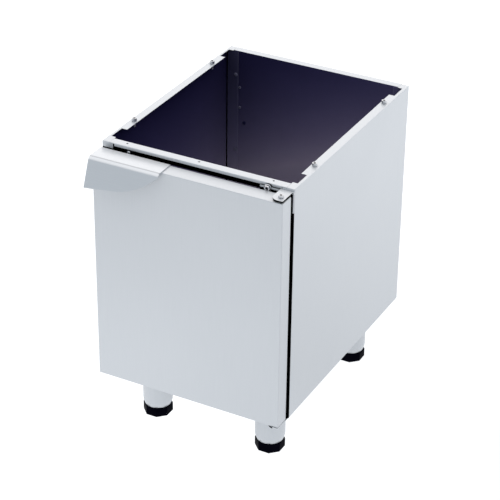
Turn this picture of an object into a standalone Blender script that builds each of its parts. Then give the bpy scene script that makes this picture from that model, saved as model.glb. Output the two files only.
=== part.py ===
"""Stainless steel base cabinet with an open top, one door hung on the right and four screw feet.

Units are metres, +Z is up, +X is to the right of someone facing the door and +Y runs to the back.
The floor is z = 0. Sizes below are written in a cabinet frame whose y = 0 is the front of the body.
An empty carries that frame, so that the origin ends up under the middle of the whole object.
"""

import math

import bmesh
import bpy
from mathutils import Matrix, Vector

# Body and sheet
BODY_WIDTH = 0.400
BODY_DEPTH = 0.500
BODY_HEIGHT = 0.490
LEG_HEIGHT = 0.130
SHEET = 0.001
BEND_INSIDE = 0.0005
FIT_GAP = 0.0003

# Side panels
FRONT_RETURN = 0.025
REAR_RETURN = 0.0165
TOP_FLANGE = 0.0175
NOTCH_FLANGE = 0.006
TOP_TAB = 0.016
FRONT_TAB_DEPTH = 0.023
FRONT_NOTCH_LENGTH = 0.037
REAR_TAB_DEPTH = 0.020
REAR_NOTCH_LENGTH = 0.038

# Front top rail
RAIL_DEPTH = 0.0185
RAIL_LIP = 0.006
RAIL_REAR_LIP = 0.025
RAIL_END_GAP = 0.0012
RAIL_HOLE_PITCH = 0.152
RAIL_HOLE_SETBACK = 0.011
RAIL_HOLE_D = 0.004

# Back panel, corner posts and floor
BACK_SETBACK = 0.0165
BACK_FOOT_FLANGE = 0.015
POST_FACE = 0.0255
POST_SIDE = 0.010
FLOOR_RISE = 0.030
CLIP_HOLE_D = 0.006
CLIP_HOLE_INSET = 0.041
CLIP_HOLE_DROP = 0.160

# Rivets and screws of the carcass
RIVET_D = 0.004
RIVET_HEAD_D = 0.008
RIVET_HEAD_H = 0.0016
RIVET_CROWN_D = 0.0064
RIVET_CROWN_H = 0.0011
RIVET_TAIL_D = 0.006
RIVET_TAIL_H = 0.0015
RIVET_FROM_POST_EDGE = 0.0055
RIVET_FIRST_DROP = 0.0535
RIVET_PITCH = 0.172
RIVET_LEVELS = ("upper", "middle", "lower")
TOP_SCREW_D = 0.006
TOP_SCREW_HEAD_D = 0.010
TOP_SCREW_HEAD_H = 0.006
TOP_SCREW_LENGTH = 0.012
TOP_SCREW_SOCKET_D = 0.005
TOP_SCREW_SOCKET_DEPTH = 0.003
TOP_SCREW_FROM_EDGE = 0.010
TOP_SCREW_FROM_END = 0.0985
CLIP_SCREW_D = 0.004
CLIP_SCREW_HEAD_D = 0.006
CLIP_SCREW_HEAD_H = 0.002
CLIP_SCREW_LENGTH = 0.0055
CLIP_SCREW_INSET = 0.0305
CLIP_SCREW_DROPS = {"upper": 0.081, "lower": 0.1265}
CLIP_PLUG_HEAD_D = 0.008
CLIP_PLUG_HEAD_H = 0.0014
CLIP_PLUG_LENGTH = 0.004

# Door
DOOR_REVEAL = 0.003
DOOR_TOP_DROP = 0.0115
DOOR_GAP = 0.009
DOOR_THICKNESS = 0.032
DOOR_INNER_FLANGE = 0.012

# Handle
HANDLE_SHEET = 0.002
HANDLE_BEND = 0.0012
HANDLE_LENGTH = 0.148
HANDLE_PLATE_OVERHANG = 0.0065
HANDLE_SLOPE_OUT = 0.0062
HANDLE_SLOPE_DOWN = 0.005
HANDLE_LIP_ANGLE = math.radians(21.0)
LIP_DROP = 0.0545
LIP_CORNER_DROP = 0.0441
LIP_CORNER_FROM_RIGHT = 0.047
LIP_CORNER_RADIUS = 0.140
LIP_RIGHT_DROP = 0.0032
STUD_D = 0.005
STUD_LENGTH = 0.008
STUD_FROM_END = 0.025
STUD_FROM_DOOR_FRONT = 0.010
NUT_ACROSS = 0.008
NUT_HEIGHT = 0.004

# Hinges
PIVOT_FROM_SIDE = 0.0097
PIVOT_FROM_FRONT = 0.0115
PIVOT_D = 0.008
HINGE_PLATE = 0.003
UPPER_HINGE_TO_DOOR = 0.003
LOWER_HINGE_TO_DOOR = 0.0004
EAR_WIDTH = 0.025
EAR_OVERHANG = 0.001
EAR_CORNER = 0.014
EAR_OUTER_CORNER = 0.0025
HINGE_LEG_REACH = 0.065
UPPER_LEG_HEIGHT = 0.0415
LOWER_LEG_HEIGHT = 0.046
LOWER_NECK_INSET = 0.006
CORNER_PLATE = 0.003
CORNER_PLATE_WIDTH = 0.062
CORNER_PLATE_HEIGHT = 0.045
CORNER_PLATE_INSET = 0.008
HINGE_BOLT_D = 0.006
HINGE_BOLT_ACROSS = 0.010
HINGE_BOLT_HEAD = 0.0045
HINGE_BOLT_FLANGE_D = 0.0142
HINGE_BOLT_FLANGE = 0.0012
HINGE_BOLT_BOSS = 0.0075
INNER_BOLT_FROM_EAR = 0.024
OUTER_BOLT_FROM_EAR = 0.010
UPPER_INNER_BOLT_DROP = 0.008
UPPER_OUTER_BOLT_DROP = 0.026
LOWER_INNER_BOLT_RISE = 0.013
LOWER_OUTER_BOLT_RISE = 0.027
PIVOT_HEAD_D = 0.010
PIVOT_HEAD_H = 0.005
PIVOT_SOCKET_D = 0.005
PIVOT_SOCKET_DEPTH = 0.0025
PIVOT_ENGAGEMENT = 0.022
BEARING_BOSS_D = 0.014
BEARING_HEIGHT = 0.024
BEARING_REACH = 0.012

# Magnetic catch
CATCH_WIDTH = 0.038
CATCH_HEIGHT = 0.016
CATCH_LUG = 0.012
CATCH_LUG_LENGTH = 0.008
CATCH_LUG_THICKNESS = 0.003
CATCH_INSET = 0.059
CATCH_SCREW_DROP = 0.0105
CATCH_SCREW_D = 0.0035
CATCH_SCREW_HEAD_D = 0.007
CATCH_SCREW_HEAD_H = 0.0025
MAGNET_LENGTH = 0.028
MAGNET_HEIGHT = 0.008
MAGNET_DEPTH = 0.004
STRIKE_SHEET = 0.0008
STRIKE_MARGIN = 0.001
STRIKE_RIVET_D = 0.0034
STRIKE_RIVET_TAIL_D = 0.006
STRIKE_RIVET_TAIL_H = 0.0012

# Legs and feet
LEG_D = 0.060
LEG_WALL = 0.0015
LEG_FROM_SIDE = 0.0725
LEG_FROM_END = 0.065
LEG_TAPER_HEIGHT = 0.014
LEG_MOUTH_D = 0.053
LEG_PLATE = 0.005
LEG_PLATE_WIDTH = 0.080
INSERT_HEIGHT = 0.026
INSERT_ABOVE_TAPER = 0.002
STEM_D = 0.016
STEM_ENGAGEMENT = 0.038
FOOT_ACROSS_CORNERS = 0.060
FOOT_HEIGHT = 0.021
FOOT_FLOOR = 0.005
FOOT_CHAMFER = 0.0012

# Smoothness of round pieces
LEG_SIDES = 40
HOLE_SIDES = 24
RIVET_SIDES = 14
FOOT_SIDES = 8
HEX = 6
FOLD_SEGMENTS = 2
FOLD_ANGLE = math.radians(15)
EDGE_ANGLE = math.radians(60)
CORNER_STEPS = 6
LIP_STEPS = 16
BOSS_STEPS = 10
LEG_TAPER_STEPS = 4

# How far cutters pass what they cut, and how near points are merged
CUT_PAST = 0.004
MERGE = 0.00001

# Places worked out from the sizes
HALF = BODY_WIDTH / 2
Z_BOTTOM = LEG_HEIGHT
Z_TOP = LEG_HEIGHT + BODY_HEIGHT
BEND = SHEET + BEND_INSIDE
INNER_HALF = HALF - SHEET - FIT_GAP
FLOOR_TOP = Z_BOTTOM + FLOOR_RISE
BACK_FRONT_FACE = BODY_DEPTH - BACK_SETBACK
POST_FRONT_FACE = BACK_FRONT_FACE - FIT_GAP - SHEET
PLATE_FRONT = SHEET + FIT_GAP
PLATE_BACK = PLATE_FRONT + CORNER_PLATE

DOOR_HALF = HALF - DOOR_REVEAL
DOOR_REAR = -DOOR_GAP
DOOR_FRONT = DOOR_REAR - DOOR_THICKNESS
DOOR_TOP = Z_TOP - DOOR_TOP_DROP
DOOR_BOTTOM = Z_BOTTOM
PIVOT_X = DOOR_HALF - PIVOT_FROM_SIDE
PIVOT_Y = DOOR_FRONT + PIVOT_FROM_FRONT
UPPER_EAR_BOTTOM = DOOR_TOP + UPPER_HINGE_TO_DOOR
LOWER_EAR_TOP = DOOR_BOTTOM - LOWER_HINGE_TO_DOOR
EAR_FRONT = DOOR_FRONT - EAR_OVERHANG

HANDLE_LEFT = -DOOR_HALF
HANDLE_RIGHT = HANDLE_LEFT + HANDLE_LENGTH
HANDLE_TOP = DOOR_TOP + FIT_GAP + HANDLE_SHEET
FOLD_ONE = Vector((0, DOOR_FRONT - HANDLE_PLATE_OVERHANG, HANDLE_TOP))
FOLD_TWO = FOLD_ONE - Vector((0, HANDLE_SLOPE_OUT, HANDLE_SLOPE_DOWN))
LIP_RUN = Vector((0, -math.sin(HANDLE_LIP_ANGLE), -math.cos(HANDLE_LIP_ANGLE)))
LIP_TIP = FOLD_TWO + LIP_RUN * LIP_DROP
FRONT_MOST = LIP_TIP.y

TUBE_FOOT = FOOT_HEIGHT + FIT_GAP
TUBE_TOP = FLOOR_TOP - SHEET - FIT_GAP
INSERT_BOTTOM = TUBE_FOOT + LEG_TAPER_HEIGHT + INSERT_ABOVE_TAPER

STEEL = ((0.58, 0.62, 0.66), 0.32, 1.0)
ZINC = ((0.66, 0.67, 0.68), 0.35, 1.0)
BLACK_PLASTIC = ((0.012, 0.012, 0.016), 0.45, 0.0)
NYLON = ((0.70, 0.70, 0.66), 0.50, 0.0)
FERRITE = ((0.05, 0.05, 0.05), 0.60, 0.2)

for old in list(bpy.data.objects):
    bpy.data.objects.remove(old, do_unlink=True)

PARTS = bpy.data.collections.new("base_cabinet")
CUTTERS = bpy.data.collections.new("base_cabinet_cutters")
bpy.context.scene.collection.children.link(PARTS)
bpy.context.scene.collection.children.link(CUTTERS)


# Helpers for frames, objects and materials
def add_frame(name, anchor, parent=None):
    """An empty at a point given in the cabinet frame, which pieces on that joint or body hang from."""
    empty = bpy.data.objects.new(name, None)
    empty["anchor"] = tuple(anchor)
    empty.location = Vector(anchor) - Vector(parent["anchor"]) if parent else Vector(anchor)
    empty.parent = parent
    PARTS.objects.link(empty)
    return empty


def add_object(name, mesh, frame, collection):
    """An object whose mesh is given in the cabinet frame, hung from one of the empties."""
    mesh.name = name
    mesh.transform(Matrix.Translation(-Vector(frame["anchor"])))
    obj = bpy.data.objects.new(name, mesh)
    obj.parent = frame
    collection.objects.link(obj)
    return obj


def add_part(name, mesh, finish, frame):
    """A piece of the cabinet, with a material of its own."""
    colour, roughness, metallic = finish
    material = bpy.data.materials.new(name + "_finish")
    material.use_nodes = True
    shader = material.node_tree.nodes["Principled BSDF"]
    shader.inputs["Base Color"].default_value = (*colour, 1.0)
    shader.inputs["Roughness"].default_value = roughness
    shader.inputs["Metallic"].default_value = metallic
    part = add_object(name, mesh, frame, PARTS)
    mesh.materials.append(material)
    return part


def combine(part, label, meshes, frame, operation):
    """Combine a part with a set of solids that don't overlap each other."""
    tool = add_object(f"{part.name}_{label}", joined(meshes), frame, CUTTERS)
    tool.hide_render = True
    tool.display_type = "WIRE"
    boolean = part.modifiers.new(label, "BOOLEAN")
    boolean.operation = operation
    boolean.solver = "EXACT"
    boolean.object = tool


def cut(part, label, meshes, frame):
    """Take solids away from a part."""
    combine(part, label, meshes, frame, "DIFFERENCE")


def weld(part, label, meshes, frame):
    """Join solids to a part."""
    combine(part, label, meshes, frame, "UNION")


def round_and_thicken(part, thickness, bend, offset=-1.0):
    """Round the folds of an open surface and give it the thickness of the sheet."""
    bevel = part.modifiers.new("folds", "BEVEL")
    bevel.width = bend
    bevel.segments = FOLD_SEGMENTS
    bevel.limit_method = "ANGLE"
    bevel.angle_limit = FOLD_ANGLE
    solid = part.modifiers.new("sheet", "SOLIDIFY")
    solid.thickness = thickness
    solid.offset = offset
    solid.use_even_offset = True


# Helpers for meshes, all in the cabinet frame
def mesh_from(bm):
    mesh = bpy.data.meshes.new("piece")
    bm.to_mesh(mesh)
    bm.free()
    return mesh


def joined(meshes):
    """One mesh that holds several."""
    bm = bmesh.new()
    for mesh in meshes:
        bm.from_mesh(mesh)
        bpy.data.meshes.remove(mesh)
    return mesh_from(bm)


def box(low, high):
    """A box between two corners, which may come in either order."""
    low, high = Vector(low), Vector(high)
    size = Vector([abs(b - a) for a, b in zip(low, high)])
    bm = bmesh.new()
    place = Matrix.Translation((low + high) / 2) @ Matrix.Diagonal((*size, 1.0))
    bmesh.ops.create_cube(bm, size=1.0, matrix=place)
    return mesh_from(bm)


def axis_turn(axis):
    """The rotation that takes +Z to +X, +Y or +Z."""
    return {
        "X": Matrix.Rotation(math.pi / 2, 4, "Y"),
        "Y": Matrix.Rotation(-math.pi / 2, 4, "X"),
        "Z": Matrix.Identity(4),
    }[axis]


def prism(centre, axis, length, diameter, sides=HOLE_SIDES, turn=0.0):
    """A round or many-sided bar from centre along +axis; its diameter is across its corners."""
    bm = bmesh.new()
    place = Matrix.Translation(centre) @ axis_turn(axis)
    place = place @ Matrix.Translation((0, 0, length / 2)) @ Matrix.Rotation(turn, 4, "Z")
    bmesh.ops.create_cone(
        bm,
        cap_ends=True,
        segments=sides,
        radius1=diameter / 2,
        radius2=diameter / 2,
        depth=length,
        matrix=place,
    )
    return mesh_from(bm)


def tray(low, high, open_axis, open_sign):
    """Five sides of a box, open towards one side: the outer skin of a folded pan."""
    mesh = box(low, high)
    bm = bmesh.new()
    bm.from_mesh(mesh)
    bpy.data.meshes.remove(mesh)
    bm.faces.ensure_lookup_table()
    lids = [face for face in bm.faces if face.normal[open_axis] * open_sign > 0.5]
    bmesh.ops.delete(bm, geom=lids, context="FACES")
    return mesh_from(bm)


def strip(profile, step):
    """An open surface: a chain of points carried along a straight step."""
    bm = bmesh.new()
    points = [bm.verts.new(point) for point in profile]
    chain = [bm.edges.new(pair) for pair in zip(points, points[1:])]
    made = bmesh.ops.extrude_edge_only(bm, edges=chain)["geom"]
    moved = [item for item in made if isinstance(item, bmesh.types.BMVert)]
    bmesh.ops.translate(bm, verts=moved, vec=step)
    return mesh_from(bm)


def circle(centre, diameter, sides=HOLE_SIDES):
    turns = [2 * math.pi * k / sides for k in range(sides)]
    radius = diameter / 2
    return [(centre[0] + radius * math.cos(t), centre[1] + radius * math.sin(t)) for t in turns]


def rounded(corners, steps=CORNER_STEPS):
    """A closed outline from (x, y, radius) corners, each with a round of its radius."""
    outline = []
    for k, (x, y, radius) in enumerate(corners):
        here = Vector((x, y))
        back = (Vector(corners[k - 1][:2]) - here).normalized()
        ahead = (Vector(corners[(k + 1) % len(corners)][:2]) - here).normalized()
        if radius == 0:
            outline.append((x, y))
            continue
        half = back.angle(ahead) / 2
        middle = here + (back + ahead).normalized() * radius / math.sin(half)
        first = here + back * radius / math.tan(half) - middle
        last = here + ahead * radius / math.tan(half) - middle
        sweep = first.angle_signed(last)
        for step in range(steps + 1):
            turned = first.copy()
            turned.rotate(Matrix.Rotation(-sweep * step / steps, 2))
            outline.append(tuple(middle + turned))
    return outline


def flat_plate(outline, holes, thickness, place):
    """A plate cut from an outline with holes, its thickness centred on its own XY plane, then placed."""
    curve = bpy.data.curves.new("outline", "CURVE")
    curve.dimensions = "2D"
    curve.fill_mode = "BOTH"
    curve.extrude = thickness / 2
    for loop in [outline, *holes]:
        spline = curve.splines.new("POLY")
        spline.points.add(len(loop) - 1)
        for point, (x, y) in zip(spline.points, loop):
            point.co = (x, y, 0.0, 1.0)
        spline.use_cyclic_u = True
    drawn = bpy.data.objects.new("outline", curve)
    CUTTERS.objects.link(drawn)
    graph = bpy.context.evaluated_depsgraph_get()
    mesh = bpy.data.meshes.new_from_object(drawn.evaluated_get(graph))
    bpy.data.objects.remove(drawn, do_unlink=True)
    bpy.data.curves.remove(curve)
    bm = bmesh.new()
    bm.from_mesh(mesh)
    bpy.data.meshes.remove(mesh)
    bmesh.ops.remove_doubles(bm, verts=bm.verts, dist=MERGE)
    bmesh.ops.transform(bm, matrix=place, verts=bm.verts)
    bmesh.ops.recalc_face_normals(bm, faces=bm.faces)
    return mesh_from(bm)


def level_plate(outline, holes, low, high):
    """A plate that lies flat between two heights; its outline is in x and y."""
    place = Matrix.Translation((0, 0, (low + high) / 2))
    return flat_plate(outline, holes, high - low, place)


def upright_plate(outline, holes, front, back):
    """A plate that stands across the cabinet between two depths; its outline is in x and z."""
    place = Matrix.Translation((0, (front + back) / 2, 0)) @ Matrix.Rotation(math.pi / 2, 4, "X")
    return flat_plate(outline, holes, back - front, place)


def fused(first, others):
    """The union of solids that overlap, as one mesh."""
    body = bpy.data.objects.new("union", first)
    CUTTERS.objects.link(body)
    helpers = []
    for mesh in others:
        helper = bpy.data.objects.new("union_piece", mesh)
        CUTTERS.objects.link(helper)
        helpers.append(helper)
        boolean = body.modifiers.new("union", "BOOLEAN")
        boolean.operation = "UNION"
        boolean.solver = "EXACT"
        boolean.object = helper
    graph = bpy.context.evaluated_depsgraph_get()
    mesh = bpy.data.meshes.new_from_object(body.evaluated_get(graph))
    for obj in [body, *helpers]:
        data = obj.data
        bpy.data.objects.remove(obj, do_unlink=True)
        bpy.data.meshes.remove(data)
    return mesh


def add_turned(name, profile, centre, axis, finish, frame, sides, closed=False):
    """A turned piece: (radius, height) points, from the top down, swept round an axis through centre."""
    bm = bmesh.new()
    points = [bm.verts.new((radius, 0.0, height)) for radius, height in profile]
    pairs = list(zip(points, points[1:]))
    if closed:
        pairs.append((points[-1], points[0]))
    for pair in pairs:
        bm.edges.new(pair)
    mesh = mesh_from(bm)
    part = add_part(name, mesh, finish, frame)
    # the profile stays on its own axis, and the object carries the place
    mesh.transform(Matrix.Translation(Vector(frame["anchor"])))
    part.matrix_basis = Matrix.Translation(Vector(centre) - Vector(frame["anchor"])) @ axis_turn(axis)
    screw = part.modifiers.new("turn", "SCREW")
    screw.axis = "Z"
    screw.steps = sides
    screw.render_steps = sides
    screw.use_merge_vertices = True
    screw.merge_threshold = MERGE
    screw.use_smooth_shade = False
    return part


CABINET = add_frame("cabinet_frame", (0.0, 0.0, 0.0))
CABINET.location = (0.0, -(BODY_DEPTH + FRONT_MOST) / 2, 0.0)
DOOR = add_frame("door_axis", (PIVOT_X, PIVOT_Y, DOOR_BOTTOM), CABINET)


# Places shared by pieces that fasten to each other
def rivet_heights():
    return [Z_TOP - RIVET_FIRST_DROP - RIVET_PITCH * k for k in range(len(RIVET_LEVELS))]


RIVET_X = INNER_HALF - POST_FACE + RIVET_FROM_POST_EDGE
TOP_SCREW_X = HALF - TOP_SCREW_FROM_EDGE
TOP_SCREW_YS = {"front": TOP_SCREW_FROM_END, "rear": BODY_DEPTH - TOP_SCREW_FROM_END}
CLIP_SCREW_X = -(HALF - CLIP_SCREW_INSET)
CLIP_HOLE_X = -(HALF - CLIP_HOLE_INSET)
CLIP_HOLE_Z = Z_TOP - CLIP_HOLE_DROP
EAR_LEFT = DOOR_HALF - EAR_WIDTH
HINGE_LEG_LEFT = DOOR_HALF - HINGE_LEG_REACH
INNER_BOLT_X = EAR_LEFT - INNER_BOLT_FROM_EAR
OUTER_BOLT_X = EAR_LEFT - OUTER_BOLT_FROM_EAR
UPPER_BOLTS = {
    "inner": (INNER_BOLT_X, Z_TOP - UPPER_INNER_BOLT_DROP),
    "outer": (OUTER_BOLT_X, Z_TOP - UPPER_OUTER_BOLT_DROP),
}
LOWER_BOLTS = {
    "inner": (INNER_BOLT_X, Z_BOTTOM + LOWER_INNER_BOLT_RISE),
    "outer": (OUTER_BOLT_X, Z_BOTTOM + LOWER_OUTER_BOLT_RISE),
}
BOLT_HOLE = HINGE_BOLT_D + 2 * FIT_GAP
CATCH_X = -(HALF - CATCH_INSET)
CATCH_MIDDLE = Z_TOP - CATCH_SCREW_DROP - CATCH_LUG_LENGTH / 2 - CATCH_HEIGHT / 2
CATCH_SCREW_ZS = {
    "upper": Z_TOP - CATCH_SCREW_DROP,
    "lower": 2 * CATCH_MIDDLE - (Z_TOP - CATCH_SCREW_DROP),
}
STRIKE_REAR = DOOR_REAR + FIT_GAP + STRIKE_SHEET
CATCH_FRONT = STRIKE_REAR + FIT_GAP
CATCH_BACK = PLATE_FRONT - FIT_GAP
STUD_XS = {"left": HANDLE_LEFT + STUD_FROM_END, "right": HANDLE_RIGHT - STUD_FROM_END}
STUD_Y = DOOR_FRONT + STUD_FROM_DOOR_FRONT
LEG_PLACES = {
    f"{end}_{side}": (sign * (HALF - LEG_FROM_SIDE), y)
    for end, y in (("front", LEG_FROM_END), ("rear", BODY_DEPTH - LEG_FROM_END))
    for side, sign in (("left", -1), ("right", 1))
}


# Side panels: folded pans with a notched top flange
def add_side_panel(name, side):
    def x_in(u):
        return side * (HALF - u)

    deep = FRONT_RETURN
    past = deep + CUT_PAST
    pan = tray((x_in(0), 0, Z_BOTTOM), (x_in(deep), BODY_DEPTH, Z_TOP), 0, -side)
    panel = add_part(name, pan, STEEL, CABINET)
    round_and_thicken(panel, SHEET, BEND)
    notch_front = FRONT_TAB_DEPTH + FRONT_NOTCH_LENGTH
    tab_rear = BODY_DEPTH - REAR_TAB_DEPTH
    notch_rear = tab_rear - REAR_NOTCH_LENGTH
    inner_edge = [
        (TOP_TAB, -CUT_PAST),
        (TOP_TAB, FRONT_TAB_DEPTH),
        (NOTCH_FLANGE, FRONT_TAB_DEPTH),
        (NOTCH_FLANGE, notch_front),
        (TOP_FLANGE, notch_front),
        (TOP_FLANGE, notch_rear),
        (NOTCH_FLANGE, notch_rear),
        (NOTCH_FLANGE, tab_rear),
        (TOP_TAB, tab_rear),
        (TOP_TAB, BODY_DEPTH + CUT_PAST),
        (past, BODY_DEPTH + CUT_PAST),
        (past, -CUT_PAST),
    ]
    outline = [(x_in(u), y) for u, y in inner_edge]
    above = level_plate(outline, [], Z_TOP - BEND - FIT_GAP, Z_TOP + CUT_PAST)
    cut(panel, "flange_edge", [above], CABINET)
    behind = box(
        (x_in(REAR_RETURN), BODY_DEPTH - BEND - FIT_GAP, Z_BOTTOM - CUT_PAST),
        (x_in(past), BODY_DEPTH + CUT_PAST, Z_TOP + CUT_PAST),
    )
    cut(panel, "return_edge", [behind], CABINET)
    hole = TOP_SCREW_D + 2 * FIT_GAP
    holes = [
        prism((x_in(TOP_SCREW_FROM_EDGE), y, Z_TOP - CUT_PAST), "Z", 2 * CUT_PAST, hole)
        for y in TOP_SCREW_YS.values()
    ]
    cut(panel, "holes", holes, CABINET)


add_side_panel("left_side_panel", -1)
add_side_panel("right_side_panel", 1)


# Front top rail: a channel across the front, open below, with three fixing holes
def add_front_top_rail():
    half = HALF - TOP_TAB - FIT_GAP
    lip_half = HALF - FRONT_RETURN - RAIL_END_GAP
    profile = [
        (-half, 0, Z_TOP - RAIL_LIP),
        (-half, 0, Z_TOP),
        (-half, RAIL_DEPTH, Z_TOP),
        (-half, RAIL_DEPTH, Z_TOP - RAIL_REAR_LIP),
    ]
    rail = add_part("front_top_rail", strip(profile, (2 * half, 0, 0)), STEEL, CABINET)
    round_and_thicken(rail, SHEET, BEND)
    deepest = Z_TOP - max(RAIL_LIP, RAIL_REAR_LIP) - CUT_PAST
    ends = [
        box(
            (side * lip_half, -CUT_PAST, deepest),
            (side * (half + CUT_PAST), RAIL_DEPTH + CUT_PAST, Z_TOP - SHEET - FIT_GAP),
        )
        for side in (-1, 1)
    ]
    cut(rail, "ends", ends, CABINET)
    hole_xs = (-RAIL_HOLE_PITCH, 0.0, RAIL_HOLE_PITCH)
    holes = [
        prism((x, RAIL_HOLE_SETBACK, Z_TOP - CUT_PAST), "Z", 2 * CUT_PAST, RAIL_HOLE_D)
        for x in hole_xs
    ]
    x, z = UPPER_BOLTS["inner"]
    holes.append(prism((x, -CUT_PAST, z), "Y", 2 * CUT_PAST, BOLT_HOLE))
    cut(rail, "holes", holes, CABINET)


add_front_top_rail()


# Back panel: set in from the rear, with flanges folded backwards
def add_back_panel():
    low = Z_BOTTOM + SHEET + FIT_GAP
    profile = [
        (-INNER_HALF, BODY_DEPTH, Z_TOP),
        (-INNER_HALF, BACK_FRONT_FACE, Z_TOP),
        (-INNER_HALF, BACK_FRONT_FACE, low),
        (-INNER_HALF, BACK_FRONT_FACE + BACK_FOOT_FLANGE, low),
    ]
    panel = add_part("back_panel", strip(profile, (2 * INNER_HALF, 0, 0)), STEEL, CABINET)
    round_and_thicken(panel, SHEET, BEND, offset=1.0)
    flange_half = HALF - TOP_TAB - FIT_GAP
    corners = [
        box(
            (side * flange_half, BACK_FRONT_FACE - CUT_PAST, Z_TOP - SHEET - FIT_GAP),
            (side * (HALF + CUT_PAST), BODY_DEPTH + CUT_PAST, Z_TOP + CUT_PAST),
        )
        for side in (-1, 1)
    ]
    cut(panel, "corners", corners, CABINET)
    start = BACK_FRONT_FACE - CUT_PAST
    places = [(side * RIVET_X, z, RIVET_D) for side in (-1, 1) for z in rivet_heights()]
    places += [(CLIP_SCREW_X, Z_TOP - drop, CLIP_SCREW_D) for drop in CLIP_SCREW_DROPS.values()]
    holes = [
        prism((x, start, z), "Y", 2 * CUT_PAST, diameter + 2 * FIT_GAP)
        for x, z, diameter in places
    ]
    holes.append(prism((CLIP_HOLE_X, start, CLIP_HOLE_Z), "Y", 2 * CUT_PAST, CLIP_HOLE_D))
    cut(panel, "holes", holes, CABINET)


add_back_panel()


# Floor panel: an upturned pan between the sides
def add_floor_panel():
    low = (-INNER_HALF, PLATE_BACK + FIT_GAP, Z_BOTTOM + SHEET + FIT_GAP)
    high = (INNER_HALF, BACK_FRONT_FACE - FIT_GAP, FLOOR_TOP)
    floor = add_part("floor_panel", tray(low, high, 2, -1), STEEL, CABINET)
    round_and_thicken(floor, SHEET, BEND)


add_floor_panel()


# Rear corner posts: angles that tie the sides to the back
def add_corner_post(name, side):
    low = FLOOR_TOP + FIT_GAP
    height = Z_TOP - SHEET - 2 * FIT_GAP - low
    face = BACK_FRONT_FACE - FIT_GAP
    profile = [
        (side * INNER_HALF, face - POST_SIDE, low),
        (side * INNER_HALF, face, low),
        (side * (INNER_HALF - POST_FACE), face, low),
    ]
    post = add_part(name, strip(profile, (0, 0, height)), STEEL, CABINET)
    round_and_thicken(post, SHEET, BEND, offset=float(side))
    holes = [
        prism((side * RIVET_X, face - CUT_PAST, z), "Y", 2 * CUT_PAST, RIVET_D + 2 * FIT_GAP)
        for z in rivet_heights()
    ]
    cut(post, "holes", holes, CABINET)


add_corner_post("rear_left_corner_post", -1)
add_corner_post("rear_right_corner_post", 1)


# Blind rivets through the posts and the back panel
def add_rivet(name, x, z):
    grip = BACK_FRONT_FACE + SHEET - POST_FRONT_FACE + 2 * FIT_GAP
    profile = [
        (0.0, grip + RIVET_TAIL_H),
        (RIVET_TAIL_D / 2, grip + RIVET_TAIL_H),
        (RIVET_TAIL_D / 2, grip),
        (RIVET_D / 2, grip),
        (RIVET_D / 2, 0.0),
        (RIVET_HEAD_D / 2, 0.0),
        (RIVET_CROWN_D / 2, -RIVET_CROWN_H),
        (0.0, -RIVET_HEAD_H),
    ]
    start = (x, POST_FRONT_FACE - FIT_GAP, z)
    add_turned(name, profile, start, "Y", ZINC, CABINET, RIVET_SIDES)


for side_name, side_sign in (("left", -1), ("right", 1)):
    for level, rivet_z in zip(RIVET_LEVELS, rivet_heights()):
        add_rivet(f"{side_name}_post_rivet_{level}", side_sign * RIVET_X, rivet_z)


# Screws: a round head with a recess, on a plain shank
def add_socket_screw(name, centre, axis, sizes, frame, flip=False):
    """A socket screw whose head rests on centre; its shank runs against +axis, or along it when flipped."""
    head_d, head_h, shank_d, shank_length, socket_d, socket_depth = sizes
    head = prism((0, 0, 0), "Z", head_h, head_d)
    shank = prism((0, 0, -shank_length), "Z", shank_length + head_h / 2, shank_d)
    mesh = fused(head, [shank])
    socket = prism((0, 0, head_h - socket_depth), "Z", socket_depth + CUT_PAST, socket_d, HEX)
    turn = Matrix.Rotation(math.pi, 4, "X") if flip else Matrix.Identity(4)
    place = Matrix.Translation(centre) @ axis_turn(axis) @ turn
    mesh.transform(place)
    socket.transform(place)
    screw = add_part(name, mesh, ZINC, frame)
    cut(screw, "socket", [socket], frame)


TOP_SCREW = (
    TOP_SCREW_HEAD_D,
    TOP_SCREW_HEAD_H,
    TOP_SCREW_D,
    TOP_SCREW_LENGTH,
    TOP_SCREW_SOCKET_D,
    TOP_SCREW_SOCKET_DEPTH,
)
for side_name, side_sign in (("left", -1), ("right", 1)):
    for end, screw_y in TOP_SCREW_YS.items():
        seat = (side_sign * TOP_SCREW_X, screw_y, Z_TOP + FIT_GAP)
        add_socket_screw(f"top_screw_{end}_{side_name}", seat, "Z", TOP_SCREW, CABINET)


def add_pan_screw(name, head_seat, sizes, finish=ZINC):
    """A small round-headed screw or plug put in backwards, its head on a face that looks to the front."""
    head_d, head_h, shank_d, shank_length = sizes
    profile = [
        (0.0, shank_length),
        (shank_d / 2, shank_length),
        (shank_d / 2, 0.0),
        (head_d / 2, 0.0),
        (head_d / 2, -head_h / 2),
        ((head_d - head_h) / 2, -head_h),
        (0.0, -head_h),
    ]
    add_turned(name, profile, head_seat, "Y", finish, CABINET, RIVET_SIDES)


CLIP_SCREW = (CLIP_SCREW_HEAD_D, CLIP_SCREW_HEAD_H, CLIP_SCREW_D, CLIP_SCREW_LENGTH)
for level, screw_drop in CLIP_SCREW_DROPS.items():
    seat = (CLIP_SCREW_X, BACK_FRONT_FACE - FIT_GAP, Z_TOP - screw_drop)
    add_pan_screw(f"back_panel_screw_{level}", seat, CLIP_SCREW)
CLIP_PLUG = (CLIP_PLUG_HEAD_D, CLIP_PLUG_HEAD_H, CLIP_HOLE_D - 2 * FIT_GAP, CLIP_PLUG_LENGTH)
plug_seat = (CLIP_HOLE_X, BACK_FRONT_FACE - FIT_GAP, CLIP_HOLE_Z)
add_pan_screw("back_panel_plug", plug_seat, CLIP_PLUG, BLACK_PLASTIC)


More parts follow.
